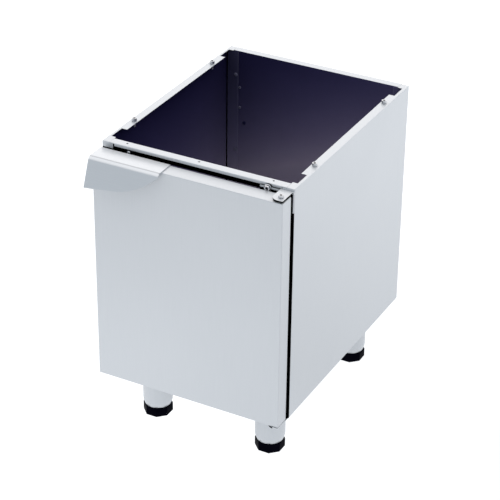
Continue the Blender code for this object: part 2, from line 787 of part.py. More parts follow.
# Corner plates behind the front returns, which take the hinge bolts and the catch
CORNER_PLATE_INNER = HALF - CORNER_PLATE_INSET - CORNER_PLATE_WIDTH
CORNER_PLATE_OUTER = HALF - CORNER_PLATE_INSET
UPPER_PLATE_HIGH = Z_TOP - SHEET - 2 * FIT_GAP
LOWER_PLATE_LOW = Z_BOTTOM + SHEET + FIT_GAP
CATCH_HOLE = CATCH_SCREW_D + 2 * FIT_GAP


def add_hinge_corner_plate(name, low, pad_high, bolts):
    """A plate with a raised pad, which fills the thickness of the return beside it."""
    high = low + CORNER_PLATE_HEIGHT
    plate = box((CORNER_PLATE_INNER, PLATE_FRONT, low), (CORNER_PLATE_OUTER, PLATE_BACK, high))
    pad_outer = HALF - FRONT_RETURN - 2 * FIT_GAP
    middle = (PLATE_FRONT + PLATE_BACK) / 2
    pad = box((CORNER_PLATE_INNER, 0, low), (pad_outer, middle, pad_high))
    part = add_part(name, fused(plate, [pad]), STEEL, CABINET)
    length = PLATE_BACK + 2 * CUT_PAST
    holes = [prism((x, -CUT_PAST, z), "Y", length, BOLT_HOLE) for x, z in bolts]
    cut(part, "holes", holes, CABINET)


add_hinge_corner_plate(
    "upper_hinge_corner_plate",
    UPPER_PLATE_HIGH - CORNER_PLATE_HEIGHT,
    Z_TOP - RAIL_LIP - FIT_GAP,
    UPPER_BOLTS.values(),
)
add_hinge_corner_plate(
    "lower_hinge_corner_plate",
    LOWER_PLATE_LOW,
    LOWER_PLATE_LOW + CORNER_PLATE_HEIGHT,
    LOWER_BOLTS.values(),
)


def add_catch_corner_plate():
    low = UPPER_PLATE_HIGH - CORNER_PLATE_HEIGHT
    outline = [
        (-CORNER_PLATE_OUTER, low),
        (-CORNER_PLATE_INNER, low),
        (-CORNER_PLATE_INNER, UPPER_PLATE_HIGH),
        (-CORNER_PLATE_OUTER, UPPER_PLATE_HIGH),
    ]
    holes = [circle((CATCH_X, z), CATCH_HOLE) for z in CATCH_SCREW_ZS.values()]
    mesh = upright_plate(outline, holes, PLATE_FRONT, PLATE_BACK)
    add_part("catch_corner_plate", mesh, STEEL, CABINET)


add_catch_corner_plate()


# Hinge brackets: an ear over or under the door, folded to a leg on the front of the body
LEG_BACK = -FIT_GAP
LEG_FRONT = LEG_BACK - HINGE_PLATE


def hinge_ear(low, high):
    outline = rounded(
        [
            (EAR_LEFT, LEG_BACK, 0),
            (EAR_LEFT, EAR_FRONT, EAR_CORNER),
            (DOOR_HALF, EAR_FRONT, EAR_OUTER_CORNER),
            (DOOR_HALF, LEG_BACK, 0),
        ]
    )
    hole = circle((PIVOT_X, PIVOT_Y), PIVOT_D + 2 * FIT_GAP)
    return level_plate(outline, [hole], low, high)


def add_upper_hinge_bracket():
    high = UPPER_EAR_BOTTOM + HINGE_PLATE
    low = high - UPPER_LEG_HEIGHT
    x, z = UPPER_BOLTS["inner"]
    left = HINGE_LEG_LEFT
    rise = math.asin((high - z) / HINGE_BOLT_BOSS)
    sweep = math.pi - 2 * rise
    turns = [math.pi - rise - sweep * k / BOSS_STEPS for k in range(BOSS_STEPS + 1)]
    boss = [
        (x + HINGE_BOLT_BOSS * math.cos(turn), z + HINGE_BOLT_BOSS * math.sin(turn))
        for turn in turns
    ]
    right = HALF - FIT_GAP
    outline = [(left, low), (left, high), *boss, (right, high), (right, low)]
    holes = [circle(place, BOLT_HOLE) for place in UPPER_BOLTS.values()]
    leg = upright_plate(outline, holes, LEG_FRONT, LEG_BACK)
    add_part("upper_hinge_bracket", fused(leg, [hinge_ear(UPPER_EAR_BOTTOM, high)]), STEEL, CABINET)


def add_lower_hinge_bracket():
    low = LOWER_EAR_TOP - HINGE_PLATE
    high = low + LOWER_LEG_HEIGHT
    foot = Z_BOTTOM
    neck = DOOR_HALF - LOWER_NECK_INSET
    right = HALF - FIT_GAP
    outline = [
        (HINGE_LEG_LEFT, foot),
        (EAR_LEFT, foot),
        (EAR_LEFT, low),
        (neck, low),
        (neck, foot + FIT_GAP),
        (right, foot + FIT_GAP),
        (right, high),
        (HINGE_LEG_LEFT, high),
    ]
    holes = [circle(place, BOLT_HOLE) for place in LOWER_BOLTS.values()]
    leg = upright_plate(outline, holes, LEG_FRONT, LEG_BACK)
    add_part("lower_hinge_bracket", fused(leg, [hinge_ear(low, LOWER_EAR_TOP)]), STEEL, CABINET)


add_upper_hinge_bracket()
add_lower_hinge_bracket()


# Hexagon bolts that hold the brackets to the corner plates
def add_hinge_bolt(name, x, z):
    corner = HINGE_BOLT_ACROSS / math.cos(math.pi / HEX)
    seat = LEG_FRONT - FIT_GAP
    middle = seat - HINGE_BOLT_FLANGE / 2
    front = seat - HINGE_BOLT_HEAD
    flange = prism((x, seat - HINGE_BOLT_FLANGE, z), "Y", HINGE_BOLT_FLANGE, HINGE_BOLT_FLANGE_D)
    head = prism((x, front, z), "Y", middle - front, corner, HEX)
    shank = prism((x, middle, z), "Y", PLATE_BACK - middle, HINGE_BOLT_D)
    add_part(name, fused(flange, [head, shank]), ZINC, CABINET)


for place_name, (bolt_x, bolt_z) in UPPER_BOLTS.items():
    add_hinge_bolt(f"upper_hinge_bolt_{place_name}", bolt_x, bolt_z)
for place_name, (bolt_x, bolt_z) in LOWER_BOLTS.items():
    add_hinge_bolt(f"lower_hinge_bolt_{place_name}", bolt_x, bolt_z)


# Pivots: a screw from above and a headed pin from below
PIVOT_SCREW = (
    PIVOT_HEAD_D,
    PIVOT_HEAD_H,
    PIVOT_D,
    HINGE_PLATE + UPPER_HINGE_TO_DOOR + PIVOT_ENGAGEMENT,
    PIVOT_SOCKET_D,
    PIVOT_SOCKET_DEPTH,
)
add_socket_screw(
    "upper_pivot_screw",
    (PIVOT_X, PIVOT_Y, UPPER_EAR_BOTTOM + HINGE_PLATE + FIT_GAP),
    "Z",
    PIVOT_SCREW,
    CABINET,
)
add_socket_screw(
    "lower_pivot_screw",
    (PIVOT_X, PIVOT_Y, LOWER_EAR_TOP - HINGE_PLATE - FIT_GAP),
    "Z",
    PIVOT_SCREW,
    CABINET,
    flip=True,
)


# Door: an outer pan, an inner pan that closes it, and the bearings in its hinge corners
def add_door_skins():
    outer_low = (-DOOR_HALF, DOOR_FRONT, DOOR_BOTTOM)
    outer_high = (DOOR_HALF, DOOR_REAR, DOOR_TOP)
    outer = add_part("door_outer_skin", tray(outer_low, outer_high, 1, 1), STEEL, DOOR)
    round_and_thicken(outer, SHEET, BEND)
    boss_hole = BEARING_BOSS_D + 2 * FIT_GAP
    holes = [
        prism((PIVOT_X, PIVOT_Y, z - CUT_PAST), "Z", 2 * CUT_PAST, boss_hole)
        for z in (DOOR_BOTTOM, DOOR_TOP)
    ]
    holes += [
        prism((x, STUD_Y, DOOR_TOP - CUT_PAST), "Z", 2 * CUT_PAST, STUD_D + 2 * FIT_GAP)
        for x in STUD_XS.values()
    ]
    cut(outer, "holes", holes, DOOR)
    inset = SHEET + FIT_GAP
    inner_low = (-DOOR_HALF + inset, DOOR_REAR - DOOR_INNER_FLANGE, DOOR_BOTTOM + inset)
    inner_high = (DOOR_HALF - inset, DOOR_REAR, DOOR_TOP - inset)
    inner = add_part("door_inner_skin", tray(inner_low, inner_high, 1, -1), STEEL, DOOR)
    round_and_thicken(inner, SHEET, BEND)
    start = (CATCH_X, DOOR_REAR - CUT_PAST, CATCH_MIDDLE)
    hole = prism(start, "Y", 2 * CUT_PAST, STRIKE_RIVET_D + 2 * FIT_GAP)
    cut(inner, "holes", [hole], DOOR)


add_door_skins()


def add_pivot_bearing(name, edge, outward, gap):
    """A nylon block in a door corner, with a boss through the skin that fills the gap to the ear.

    outward is +1 at the top and -1 below.
    """
    inside = edge - outward * (SHEET + FIT_GAP)
    block_low = (PIVOT_X - BEARING_REACH, DOOR_FRONT + SHEET + FIT_GAP, inside)
    block_high = (
        DOOR_HALF - SHEET - FIT_GAP,
        DOOR_REAR - DOOR_INNER_FLANGE - FIT_GAP,
        inside - outward * BEARING_HEIGHT,
    )
    tip = edge + outward * (gap - FIT_GAP)
    root = inside - outward * BEARING_HEIGHT / 2
    boss = prism((PIVOT_X, PIVOT_Y, min(tip, root)), "Z", abs(tip - root), BEARING_BOSS_D)
    bearing = add_part(name, fused(box(block_low, block_high), [boss]), NYLON, DOOR)
    far = inside - outward * (BEARING_HEIGHT + CUT_PAST)
    bore_low = min(far, tip + outward * CUT_PAST)
    bore = prism(
        (PIVOT_X, PIVOT_Y, bore_low),
        "Z",
        abs(tip + outward * CUT_PAST - far),
        PIVOT_D + 2 * FIT_GAP,
    )
    cut(bearing, "bore", [bore], DOOR)


add_pivot_bearing("upper_pivot_bearing", DOOR_TOP, 1, UPPER_HINGE_TO_DOOR)
add_pivot_bearing("lower_pivot_bearing", DOOR_BOTTOM, -1, LOWER_HINGE_TO_DOOR)


# Handle: a bent plate over the door's top edge, its lip cut to a long curve, held by welded studs
def lip_cutter():
    """The waste below the lip's edge, drawn in the lip's plane as x and distance from the fold."""
    right = HANDLE_RIGHT
    corner = right - LIP_CORNER_FROM_RIGHT
    slope = (LIP_DROP - LIP_CORNER_DROP) / (corner - HANDLE_LEFT)
    rise = (LIP_CORNER_DROP - LIP_RIGHT_DROP) / LIP_CORNER_FROM_RIGHT
    far = LIP_DROP + 4 * CUT_PAST
    outline = rounded(
        [
            (HANDLE_LEFT - CUT_PAST, LIP_DROP + slope * CUT_PAST, 0),
            (corner, LIP_CORNER_DROP, LIP_CORNER_RADIUS),
            (right + CUT_PAST, LIP_RIGHT_DROP - rise * CUT_PAST, 0),
            (right + CUT_PAST, far, 0),
            (HANDLE_LEFT - CUT_PAST, far, 0),
        ],
        steps=LIP_STEPS,
    )
    across = Vector((1, 0, 0))
    normal = across.cross(LIP_RUN)
    place = Matrix((across, LIP_RUN, normal)).transposed().to_4x4()
    place.translation = FOLD_TWO
    return flat_plate(outline, [], 4 * CUT_PAST, place)


def add_handle():
    rear = Vector((0, DOOR_REAR, HANDLE_TOP))
    start = Vector((HANDLE_LEFT, 0, 0))
    profile = [start + point for point in (rear, FOLD_ONE, FOLD_TWO, LIP_TIP)]
    handle = add_part("door_handle", strip(profile, (HANDLE_LENGTH, 0, 0)), STEEL, DOOR)
    round_and_thicken(handle, HANDLE_SHEET, HANDLE_BEND, offset=1.0)
    cut(handle, "lip_edge", [lip_cutter()], DOOR)
    top = HANDLE_TOP - HANDLE_SHEET / 2
    foot = DOOR_TOP - STUD_LENGTH
    studs = [prism((x, STUD_Y, foot), "Z", top - foot, STUD_D) for x in STUD_XS.values()]
    weld(handle, "studs", studs, DOOR)


add_handle()


def add_handle_nut(name, x):
    high = DOOR_TOP - SHEET - FIT_GAP
    outline = circle((x, STUD_Y), NUT_ACROSS / math.cos(math.pi / HEX), HEX)
    hole = circle((x, STUD_Y), STUD_D + 2 * FIT_GAP)
    add_part(name, level_plate(outline, [hole], high - NUT_HEIGHT, high), ZINC, DOOR)


for place_name, nut_x in STUD_XS.items():
    add_handle_nut(f"handle_nut_{place_name}", nut_x)


# Magnetic catch on the hinge-free side, and the strike on the door
def add_catch():
    half_w, half_h = CATCH_WIDTH / 2, CATCH_HEIGHT / 2
    block = box(
        (CATCH_X - half_w, CATCH_FRONT, CATCH_MIDDLE - half_h),
        (CATCH_X + half_w, CATCH_BACK, CATCH_MIDDLE + half_h),
    )
    reach = half_h + CATCH_LUG_LENGTH
    lug = upright_plate(
        [
            (CATCH_X - CATCH_LUG / 2, CATCH_MIDDLE - reach),
            (CATCH_X + CATCH_LUG / 2, CATCH_MIDDLE - reach),
            (CATCH_X + CATCH_LUG / 2, CATCH_MIDDLE + reach),
            (CATCH_X - CATCH_LUG / 2, CATCH_MIDDLE + reach),
        ],
        [circle((CATCH_X, z), CATCH_HOLE) for z in CATCH_SCREW_ZS.values()],
        CATCH_BACK - CATCH_LUG_THICKNESS,
        CATCH_BACK,
    )
    housing = add_part("catch_housing", fused(block, [lug]), BLACK_PLASTIC, CABINET)
    fit = Vector((FIT_GAP, 0, FIT_GAP))
    magnet_low = Vector((CATCH_X - MAGNET_LENGTH / 2, CATCH_FRONT, CATCH_MIDDLE - MAGNET_HEIGHT / 2))
    magnet_high = Vector((CATCH_X + MAGNET_LENGTH / 2, 0, CATCH_MIDDLE + MAGNET_HEIGHT / 2))
    magnet_high.y = CATCH_FRONT + MAGNET_DEPTH
    pocket_low = magnet_low - fit - Vector((0, CUT_PAST, 0))
    pocket_high = magnet_high + fit + Vector((0, FIT_GAP, 0))
    cut(housing, "pocket", [box(pocket_low, pocket_high)], CABINET)
    add_part("catch_magnet", box(magnet_low, magnet_high), FERRITE, CABINET)
    length = PLATE_BACK - CATCH_BACK + CATCH_LUG_THICKNESS
    sizes = (CATCH_SCREW_HEAD_D, CATCH_SCREW_HEAD_H, CATCH_SCREW_D, length)
    for level, z in CATCH_SCREW_ZS.items():
        seat = (CATCH_X, CATCH_BACK - CATCH_LUG_THICKNESS - FIT_GAP, z)
        add_pan_screw(f"catch_screw_{level}", seat, sizes)


add_catch()


def add_strike():
    half_w = CATCH_WIDTH / 2 - STRIKE_MARGIN
    half_h = CATCH_HEIGHT / 2 - STRIKE_MARGIN
    low, high = CATCH_MIDDLE - half_h, CATCH_MIDDLE + half_h
    left, right = CATCH_X - half_w, CATCH_X + half_w
    outline = [(left, low), (right, low), (right, high), (left, high)]
    hole = circle((CATCH_X, CATCH_MIDDLE), STRIKE_RIVET_D + 2 * FIT_GAP)
    mesh = upright_plate(outline, [hole], STRIKE_REAR - STRIKE_SHEET, STRIKE_REAR)
    add_part("strike_plate", mesh, ZINC, DOOR)
    seat = DOOR_REAR - SHEET - FIT_GAP
    profile = [
        (0.0, STRIKE_REAR),
        (STRIKE_RIVET_D / 2, STRIKE_REAR),
        (STRIKE_RIVET_D / 2, seat),
        (STRIKE_RIVET_TAIL_D / 2, seat),
        (STRIKE_RIVET_TAIL_D / 2, seat - STRIKE_RIVET_TAIL_H),
        (0.0, seat - STRIKE_RIVET_TAIL_H),
    ]
    centre = (CATCH_X, 0.0, CATCH_MIDDLE)
    add_turned("strike_rivet", profile, centre, "Y", ZINC, DOOR, RIVET_SIDES)


add_strike()


# Legs: tubes welded to a plate under the floor, with a threaded insert, a stem and a foot each
def add_leg(place_name, x, y):
    radius = LEG_D / 2
    mouth = LEG_MOUTH_D / 2
    plate_low = TUBE_TOP - LEG_PLATE
    rises = [k / LEG_TAPER_STEPS for k in range(LEG_TAPER_STEPS, -1, -1)]
    taper = [
        (radius - (radius - mouth) * (1 - rise) ** 2, TUBE_FOOT + LEG_TAPER_HEIGHT * rise)
        for rise in rises
    ]
    wall = [(r - LEG_WALL, z) for r, z in reversed(taper)]
    top = plate_low + LEG_PLATE / 2
    profile = [(radius, top), *taper, *wall, (radius - LEG_WALL, top)]
    bm = bmesh.new()
    loop = [bm.verts.new((r, 0.0, z)) for r, z in profile]
    edges = [bm.edges.new(pair) for pair in zip(loop, loop[1:] + loop[:1])]
    bmesh.ops.spin(
        bm,
        geom=loop + edges,
        cent=(0, 0, 0),
        axis=(0, 0, 1),
        angle=2 * math.pi,
        steps=LEG_SIDES,
        use_merge=True,
    )
    bmesh.ops.remove_doubles(bm, verts=bm.verts, dist=MERGE)
    bmesh.ops.recalc_face_normals(bm, faces=bm.faces)
    tube = mesh_from(bm)
    tube.transform(Matrix.Translation((x, y, 0)))
    half = LEG_PLATE_WIDTH / 2
    plate = box((x - half, y - half, plate_low), (x + half, y + half, TUBE_TOP))
    add_part(f"leg_{place_name}", fused(plate, [tube]), STEEL, CABINET)

    bore = STEM_D / 2 + FIT_GAP
    plug = radius - LEG_WALL - FIT_GAP
    insert_top = INSERT_BOTTOM + INSERT_HEIGHT
    ring = [(plug, insert_top), (plug, INSERT_BOTTOM), (bore, INSERT_BOTTOM), (bore, insert_top)]
    add_turned(
        f"leg_insert_{place_name}", ring, (x, y, 0), "Z", ZINC, CABINET, LEG_SIDES, closed=True
    )

    foot_frame = add_frame(f"foot_axis_{place_name}", (x, y, 0), CABINET)
    stem_low = FOOT_FLOOR + FIT_GAP
    stem_top = INSERT_BOTTOM + STEM_ENGAGEMENT
    stem = prism((x, y, stem_low), "Z", stem_top - stem_low, STEM_D)
    add_part(f"foot_stem_{place_name}", stem, ZINC, foot_frame)

    turn = math.pi / FOOT_SIDES
    base = prism((x, y, 0), "Z", FOOT_HEIGHT, FOOT_ACROSS_CORNERS, FOOT_SIDES, turn)
    foot = add_part(f"foot_{place_name}", base, BLACK_PLASTIC, foot_frame)
    bevel = foot.modifiers.new("edges", "BEVEL")
    bevel.width = FOOT_CHAMFER
    bevel.segments = 1
    bevel.limit_method = "ANGLE"
    bevel.angle_limit = EDGE_ANGLE
    socket = prism((x, y, FOOT_FLOOR), "Z", FOOT_HEIGHT, STEM_D + 2 * FIT_GAP)
    cut(foot, "socket", [socket], foot_frame)


for leg_name, (leg_x, leg_y) in LEG_PLACES.items():
    add_leg(leg_name, leg_x, leg_y)
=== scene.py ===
"""Looks of the stainless steel base cabinet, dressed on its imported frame."""

import math

import bpy
import numpy as np
from mathutils import Matrix, Vector


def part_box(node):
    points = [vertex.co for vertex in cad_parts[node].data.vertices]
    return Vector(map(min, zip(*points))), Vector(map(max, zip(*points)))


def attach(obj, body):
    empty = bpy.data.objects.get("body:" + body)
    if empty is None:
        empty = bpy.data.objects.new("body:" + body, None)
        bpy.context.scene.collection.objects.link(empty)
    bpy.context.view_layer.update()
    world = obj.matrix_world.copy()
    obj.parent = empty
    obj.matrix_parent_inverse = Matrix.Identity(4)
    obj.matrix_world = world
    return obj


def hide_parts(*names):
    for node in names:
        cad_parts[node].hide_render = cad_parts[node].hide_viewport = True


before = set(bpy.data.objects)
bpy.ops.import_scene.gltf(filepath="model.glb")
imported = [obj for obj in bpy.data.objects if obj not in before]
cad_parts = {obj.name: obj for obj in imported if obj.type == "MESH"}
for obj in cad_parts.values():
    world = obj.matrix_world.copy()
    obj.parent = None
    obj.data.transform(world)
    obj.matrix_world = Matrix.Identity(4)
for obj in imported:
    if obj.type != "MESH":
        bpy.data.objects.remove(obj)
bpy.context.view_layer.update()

# Carcass: sides, back, floor, front rail and corner posts, folded from stainless sheet and spot welded.
# Outside it is satin with a fine upright grain. Inside it is painted shade: dull blue-black, paling downwards
# and to the right, and to steel at the floor.
# Painted black shade runs round the outer edge of the front, where the closed door leaves a gap.
BODY_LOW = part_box("left_side_panel")[0]
BODY_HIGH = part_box("right_side_panel")[1]
BACK_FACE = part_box("back_panel")[0].y
DOOR_LOW, DOOR_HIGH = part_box("door_outer_skin")
SHEET = 0.001
HALF_SHEET = SHEET / 2
UPRIGHT_GRAIN = (900.0, 900.0, 14.0)
GRAIN_DETAIL, CLOUD_DETAIL = 2.0, 4.0
NOISE_LOW, NOISE_HIGH = 0.3, 0.7
BUMP_HEIGHT = 0.0002
SATIN_DULL = (0.533, 0.553, 0.578, 1.0)
SATIN_BRIGHT = (0.547, 0.567, 0.592, 1.0)
SATIN_METALLIC = 0.45
SATIN_SMOOTHEST, SATIN_ROUGHEST = 0.30, 0.36
SATIN_CLOUD_SCALE = 5.0
SATIN_BUMP = 0.02
# The inside's painted shade: dark blue-black, paling downwards and to the right.
INSIDE_RED, INSIDE_GREEN, INSIDE_BLUE = 0.0236, 0.0208, 0.0602
INSIDE_CLOUD_SCALE, INSIDE_DRIFT = 9.0, 0.12
INSIDE_ROUGHER = 0.3
PALER_DOWN, PALER_RIGHT, PALEST = 11.8, 4.4, 2.5
PALER_BLUE = 0.7
BARE_FROM, BARE_TO = 0.31, 0.45
BARE_STEEL = (0.40, 0.41, 0.43, 1.0)
# The black below is painted shade, laid on faces in the door's gaps, the left return's seam and the rail's
# hollow.
SHADE_BLACK = (0.0, 0.0, 0.0, 1.0)
GAP_SHADE_WIDTH = 0.012
SEAM_SHADE_WIDTH = 0.0015


def put(tree, kind, feeds=(), **settings):
    """Add a node. settings are its own properties; feeds gives a socket a value or a node's output."""
    node = tree.nodes.new(kind)
    for key, value in settings.items():
        setattr(node, key, value)
    for socket, value in dict(feeds).items():
        if isinstance(value, bpy.types.NodeSocket):
            tree.links.new(value, node.inputs[socket])
        else:
            node.inputs[socket].default_value = value
    return node


def math_node(tree, operation, first, second=0.0):
    """The output of a sum, product or comparison of two numbers."""
    return put(tree, "ShaderNodeMath", {0: first, 1: second}, operation=operation).outputs[0]


def mixed(tree, factor, first, second):
    """The output of a mix of two colours."""
    feeds = {"Factor": factor, 6: first, 7: second}
    return put(tree, "ShaderNodeMix", feeds, data_type="RGBA").outputs[2]


def spread(tree, value, start, end, low=0.0, high=1.0):
    """A number carried from the range start to end to the range low to high, and held at its ends."""
    feeds = {"Value": value, "From Min": start, "From Max": end, "To Min": low, "To Max": high}
    return put(tree, "ShaderNodeMapRange", feeds).outputs[0]


def ranged(tree, value, low, high):
    """A noise value, which mostly lies between NOISE_LOW and NOISE_HIGH, carried to the range low to high."""
    return spread(tree, value, NOISE_LOW, NOISE_HIGH, low, high)


def add_bump(tree, shader, strength, height):
    """Let a pattern of heights tilt a material's shading."""
    feeds = {"Strength": strength, "Distance": BUMP_HEIGHT, "Height": height}
    tree.links.new(put(tree, "ShaderNodeBump", feeds).outputs[0], shader["Normal"])


def new_group(name, inputs, outputs):
    """An empty shader node group with named sockets, and its input and output nodes."""
    group = bpy.data.node_groups.new(name, "ShaderNodeTree")
    for socket, kind in inputs.items():
        group.interface.new_socket(socket, in_out="INPUT", socket_type="NodeSocket" + kind)
    for socket, kind in outputs.items():
        group.interface.new_socket(socket, in_out="OUTPUT", socket_type="NodeSocket" + kind)
    return group, group.nodes.new("NodeGroupInput").outputs, group.nodes.new("NodeGroupOutput").inputs


def make_satin_grain():
    """Fine lines drawn out along one direction, and a slow cloudy drift over them."""
    group, given, made = new_group(
        "satin_grain",
        {"Vector": "Vector", "Stretch": "Vector", "Cloud Scale": "Float"},
        {"Grain": "Float", "Cloud": "Float"},
    )
    drawn_feeds = {0: given["Vector"], 1: given["Stretch"]}
    drawn = put(group, "ShaderNodeVectorMath", drawn_feeds, operation="MULTIPLY").outputs[0]
    lines = put(group, "ShaderNodeTexNoise", {"Vector": drawn, "Scale": 1.0, "Detail": GRAIN_DETAIL})
    cloud_feeds = {"Vector": given["Vector"], "Scale": given["Cloud Scale"], "Detail": CLOUD_DETAIL}
    cloud = put(group, "ShaderNodeTexNoise", cloud_feeds)
    group.links.new(lines.outputs["Fac"], made["Grain"])
    group.links.new(cloud.outputs["Fac"], made["Cloud"])
    return group


def make_region_mask():
    """One where a point lies between a set of limits, and zero outside.
    Inner and Half Width limit x without its sign. Facing limits how much a face looks to the front or rear,
    so that a low limit picks a plate's cut edges."""
    limits = ("Inner", "Half Width", "Front", "Rear", "Low", "Top", "Facing")
    group, given, made = new_group(
        "region_mask", {"Vector": "Vector", **{limit: "Float" for limit in limits}}, {"Mask": "Float"}
    )
    place = put(group, "ShaderNodeSeparateXYZ", {0: given["Vector"]}).outputs
    across = math_node(group, "ABSOLUTE", place[0])
    normal = put(group, "ShaderNodeNewGeometry").outputs["Normal"]
    facing = math_node(group, "ABSOLUTE", put(group, "ShaderNodeSeparateXYZ", {0: normal}).outputs[1])
    tests = [
        math_node(group, "GREATER_THAN", across, given["Inner"]),
        math_node(group, "LESS_THAN", across, given["Half Width"]),
        math_node(group, "GREATER_THAN", place[1], given["Front"]),
        math_node(group, "LESS_THAN", place[1], given["Rear"]),
        math_node(group, "GREATER_THAN", place[2], given["Low"]),
        math_node(group, "LESS_THAN", place[2], given["Top"]),
        math_node(group, "LESS_THAN", facing, given["Facing"]),
    ]
    mask = tests[0]
    for test in tests[1:]:
        mask = math_node(group, "MULTIPLY", mask, test)
    group.links.new(mask, made["Mask"])
    return group


def make_inside_shade():
    """The inside's painted shade, dark blue-black at the top. It pales by p = PALER_DOWN * depth below the
    top + PALER_RIGHT * x + a faint cloud,
    up to PALEST: red and green are multiplied by e to the p, and blue by e to the PALER_BLUE * p.
    Between the depths BARE_FROM and BARE_TO it gives way to steel, and where Shade is zero it is painted
    black shade."""
    sockets = {"Vector": "Vector", "Shade": "Float"}
    group, given, made = new_group("inside_shade", sockets, {"Color": "Color"})
    place = put(group, "ShaderNodeSeparateXYZ", {0: given["Vector"]}).outputs
    depth = math_node(group, "SUBTRACT", BODY_HIGH.z, place[2])
    cloud_feeds = {"Vector": given["Vector"], "Scale": INSIDE_CLOUD_SCALE, "Detail": CLOUD_DETAIL}
    cloud = put(group, "ShaderNodeTexNoise", cloud_feeds).outputs["Fac"]
    drift = spread(group, cloud, 0.0, 1.0, -INSIDE_DRIFT, INSIDE_DRIFT)
    down = math_node(group, "MULTIPLY", depth, PALER_DOWN)
    across = math_node(group, "MULTIPLY", place[0], PALER_RIGHT)
    pale = math_node(group, "ADD", math_node(group, "ADD", down, across), drift)
    pale = math_node(group, "MINIMUM", pale, PALEST)
    warm = math_node(group, "EXPONENT", pale)
    cool = math_node(group, "EXPONENT", math_node(group, "MULTIPLY", pale, PALER_BLUE))
    feeds = {
        "Red": math_node(group, "MULTIPLY", warm, INSIDE_RED),
        "Green": math_node(group, "MULTIPLY", warm, INSIDE_GREEN),
        "Blue": math_node(group, "MULTIPLY", cool, INSIDE_BLUE),
    }
    surface_and_shade = put(group, "ShaderNodeCombineColor", feeds).outputs[0]
    surface_and_shade = mixed(group, spread(group, depth, BARE_FROM, BARE_TO), surface_and_shade, BARE_STEEL)
    group.links.new(mixed(group, given["Shade"], SHADE_BLACK, surface_and_shade), made["Color"])
    return group


SATIN_GRAIN = make_satin_grain()
REGION_MASK = make_region_mask()
INSIDE_SHADE = make_inside_shade()


def new_material(name):
    """A new material, with its tree, its shader's sockets and its Object coordinates."""
    material = bpy.data.materials.new(name)
    material.use_nodes = True
    tree = material.node_tree
    coords = put(tree, "ShaderNodeTexCoord").outputs["Object"]
    return material, tree, tree.nodes["Principled BSDF"].inputs, coords


def region_mask(tree, coords, regions):
    """One inside any of several sets of limits, and zero elsewhere."""
    feeds = [{"Vector": coords, **limits} for limits in regions]
    masks = [put(tree, "ShaderNodeGroup", feed, node_tree=REGION_MASK).outputs["Mask"] for feed in feeds]
    mask = masks[0]
    for other in masks[1:]:
        mask = math_node(tree, "MAXIMUM", mask, other)
    return mask


def steel_sheet(name, stretch=UPRIGHT_GRAIN, inside=(), black=(), marks=()):
    """Satin sheet. inside and black give sets of limits between which it carries the inside's painted shade
    or is painted black shade.
    Each of marks is a set of limits, a colour and its share."""
    material, tree, shader, coords = new_material(name)
    grain_feeds = {"Vector": coords, "Stretch": stretch, "Cloud Scale": SATIN_CLOUD_SCALE}
    surface_and_shade = put(tree, "ShaderNodeGroup", grain_feeds, node_tree=SATIN_GRAIN).outputs
    colour = mixed(tree, ranged(tree, surface_and_shade["Grain"], 0.0, 1.0), SATIN_DULL, SATIN_BRIGHT)
    roughness = ranged(tree, surface_and_shade["Cloud"], SATIN_SMOOTHEST, SATIN_ROUGHEST)
    if inside or black:
        mask = region_mask(tree, coords, [*inside, *black])
        shade_feeds = {"Vector": coords, "Shade": 1.0}
        if black:
            shade_feeds["Shade"] = math_node(tree, "SUBTRACT", 1.0, region_mask(tree, coords, black))
        dark = put(tree, "ShaderNodeGroup", shade_feeds, node_tree=INSIDE_SHADE).outputs["Color"]
        colour = mixed(tree, mask, colour, dark)
        roughness = math_node(tree, "ADD", roughness, math_node(tree, "MULTIPLY", mask, INSIDE_ROUGHER))
        metallic = math_node(tree, "MULTIPLY", math_node(tree, "SUBTRACT", 1.0, mask), SATIN_METALLIC)
        tree.links.new(metallic, shader["Metallic"])
    else:
        shader["Metallic"].default_value = SATIN_METALLIC
    for limits, shade, share in marks:
        marked = math_node(tree, "MULTIPLY", region_mask(tree, coords, [limits]), share)
        colour = mixed(tree, marked, colour, shade)
    shader["Specular IOR Level"].default_value = 0.0
    tree.links.new(colour, shader["Base Color"])
    tree.links.new(roughness, shader["Roughness"])
    add_bump(tree, shader, SATIN_BUMP, surface_and_shade["Grain"])
    return material


def finish_node(node, material):
    """Give a CAD node a material of its own."""
    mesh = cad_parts[node].data
    mesh.materials.clear()
    mesh.materials.append(material)


EVERYWHERE = {
    "Inner": -1.0,
    "Half Width": 1.0,
    "Front": -1.0,
    "Rear": 1.0,
    "Low": -1.0,
    "Top": 1.0,
    "Facing": 2.0,
}
SIDE_INSIDE = {
    **EVERYWHERE,
    "Half Width": BODY_HIGH.x - HALF_SHEET,
    "Front": BODY_LOW.y + HALF_SHEET,
    "Rear": BACK_FACE + HALF_SHEET,
    "Low": BODY_LOW.z + HALF_SHEET,
    "Top": BODY_HIGH.z - HALF_SHEET,
}
BACK_INSIDE = {**EVERYWHERE, "Rear": BACK_FACE + HALF_SHEET, "Top": BODY_HIGH.z - HALF_SHEET}
FLOOR_INSIDE = {**EVERYWHERE, "Low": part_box("floor_panel")[1].z - HALF_SHEET}
RAIL_INSIDE = {**EVERYWHERE, "Front": BODY_LOW.y + HALF_SHEET, "Top": BODY_HIGH.z - HALF_SHEET}
RAIL_HOLLOW_SHADE = {**RAIL_INSIDE, "Rear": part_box("front_top_rail")[1].y - HALF_SHEET}
FRONT_FACE = {
    **EVERYWHERE,
    "Half Width": BODY_HIGH.x - HALF_SHEET,
    "Rear": BODY_LOW.y + SHEET,
    "Top": DOOR_HIGH.z,
}
GAP_SHADE_FROM = BODY_HIGH.x - GAP_SHADE_WIDTH
SIDE_GAP_SHADE = {**FRONT_FACE, "Inner": GAP_SHADE_FROM}
TOP_GAP_SHADE = {**FRONT_FACE, "Low": DOOR_HIGH.z - GAP_SHADE_WIDTH}
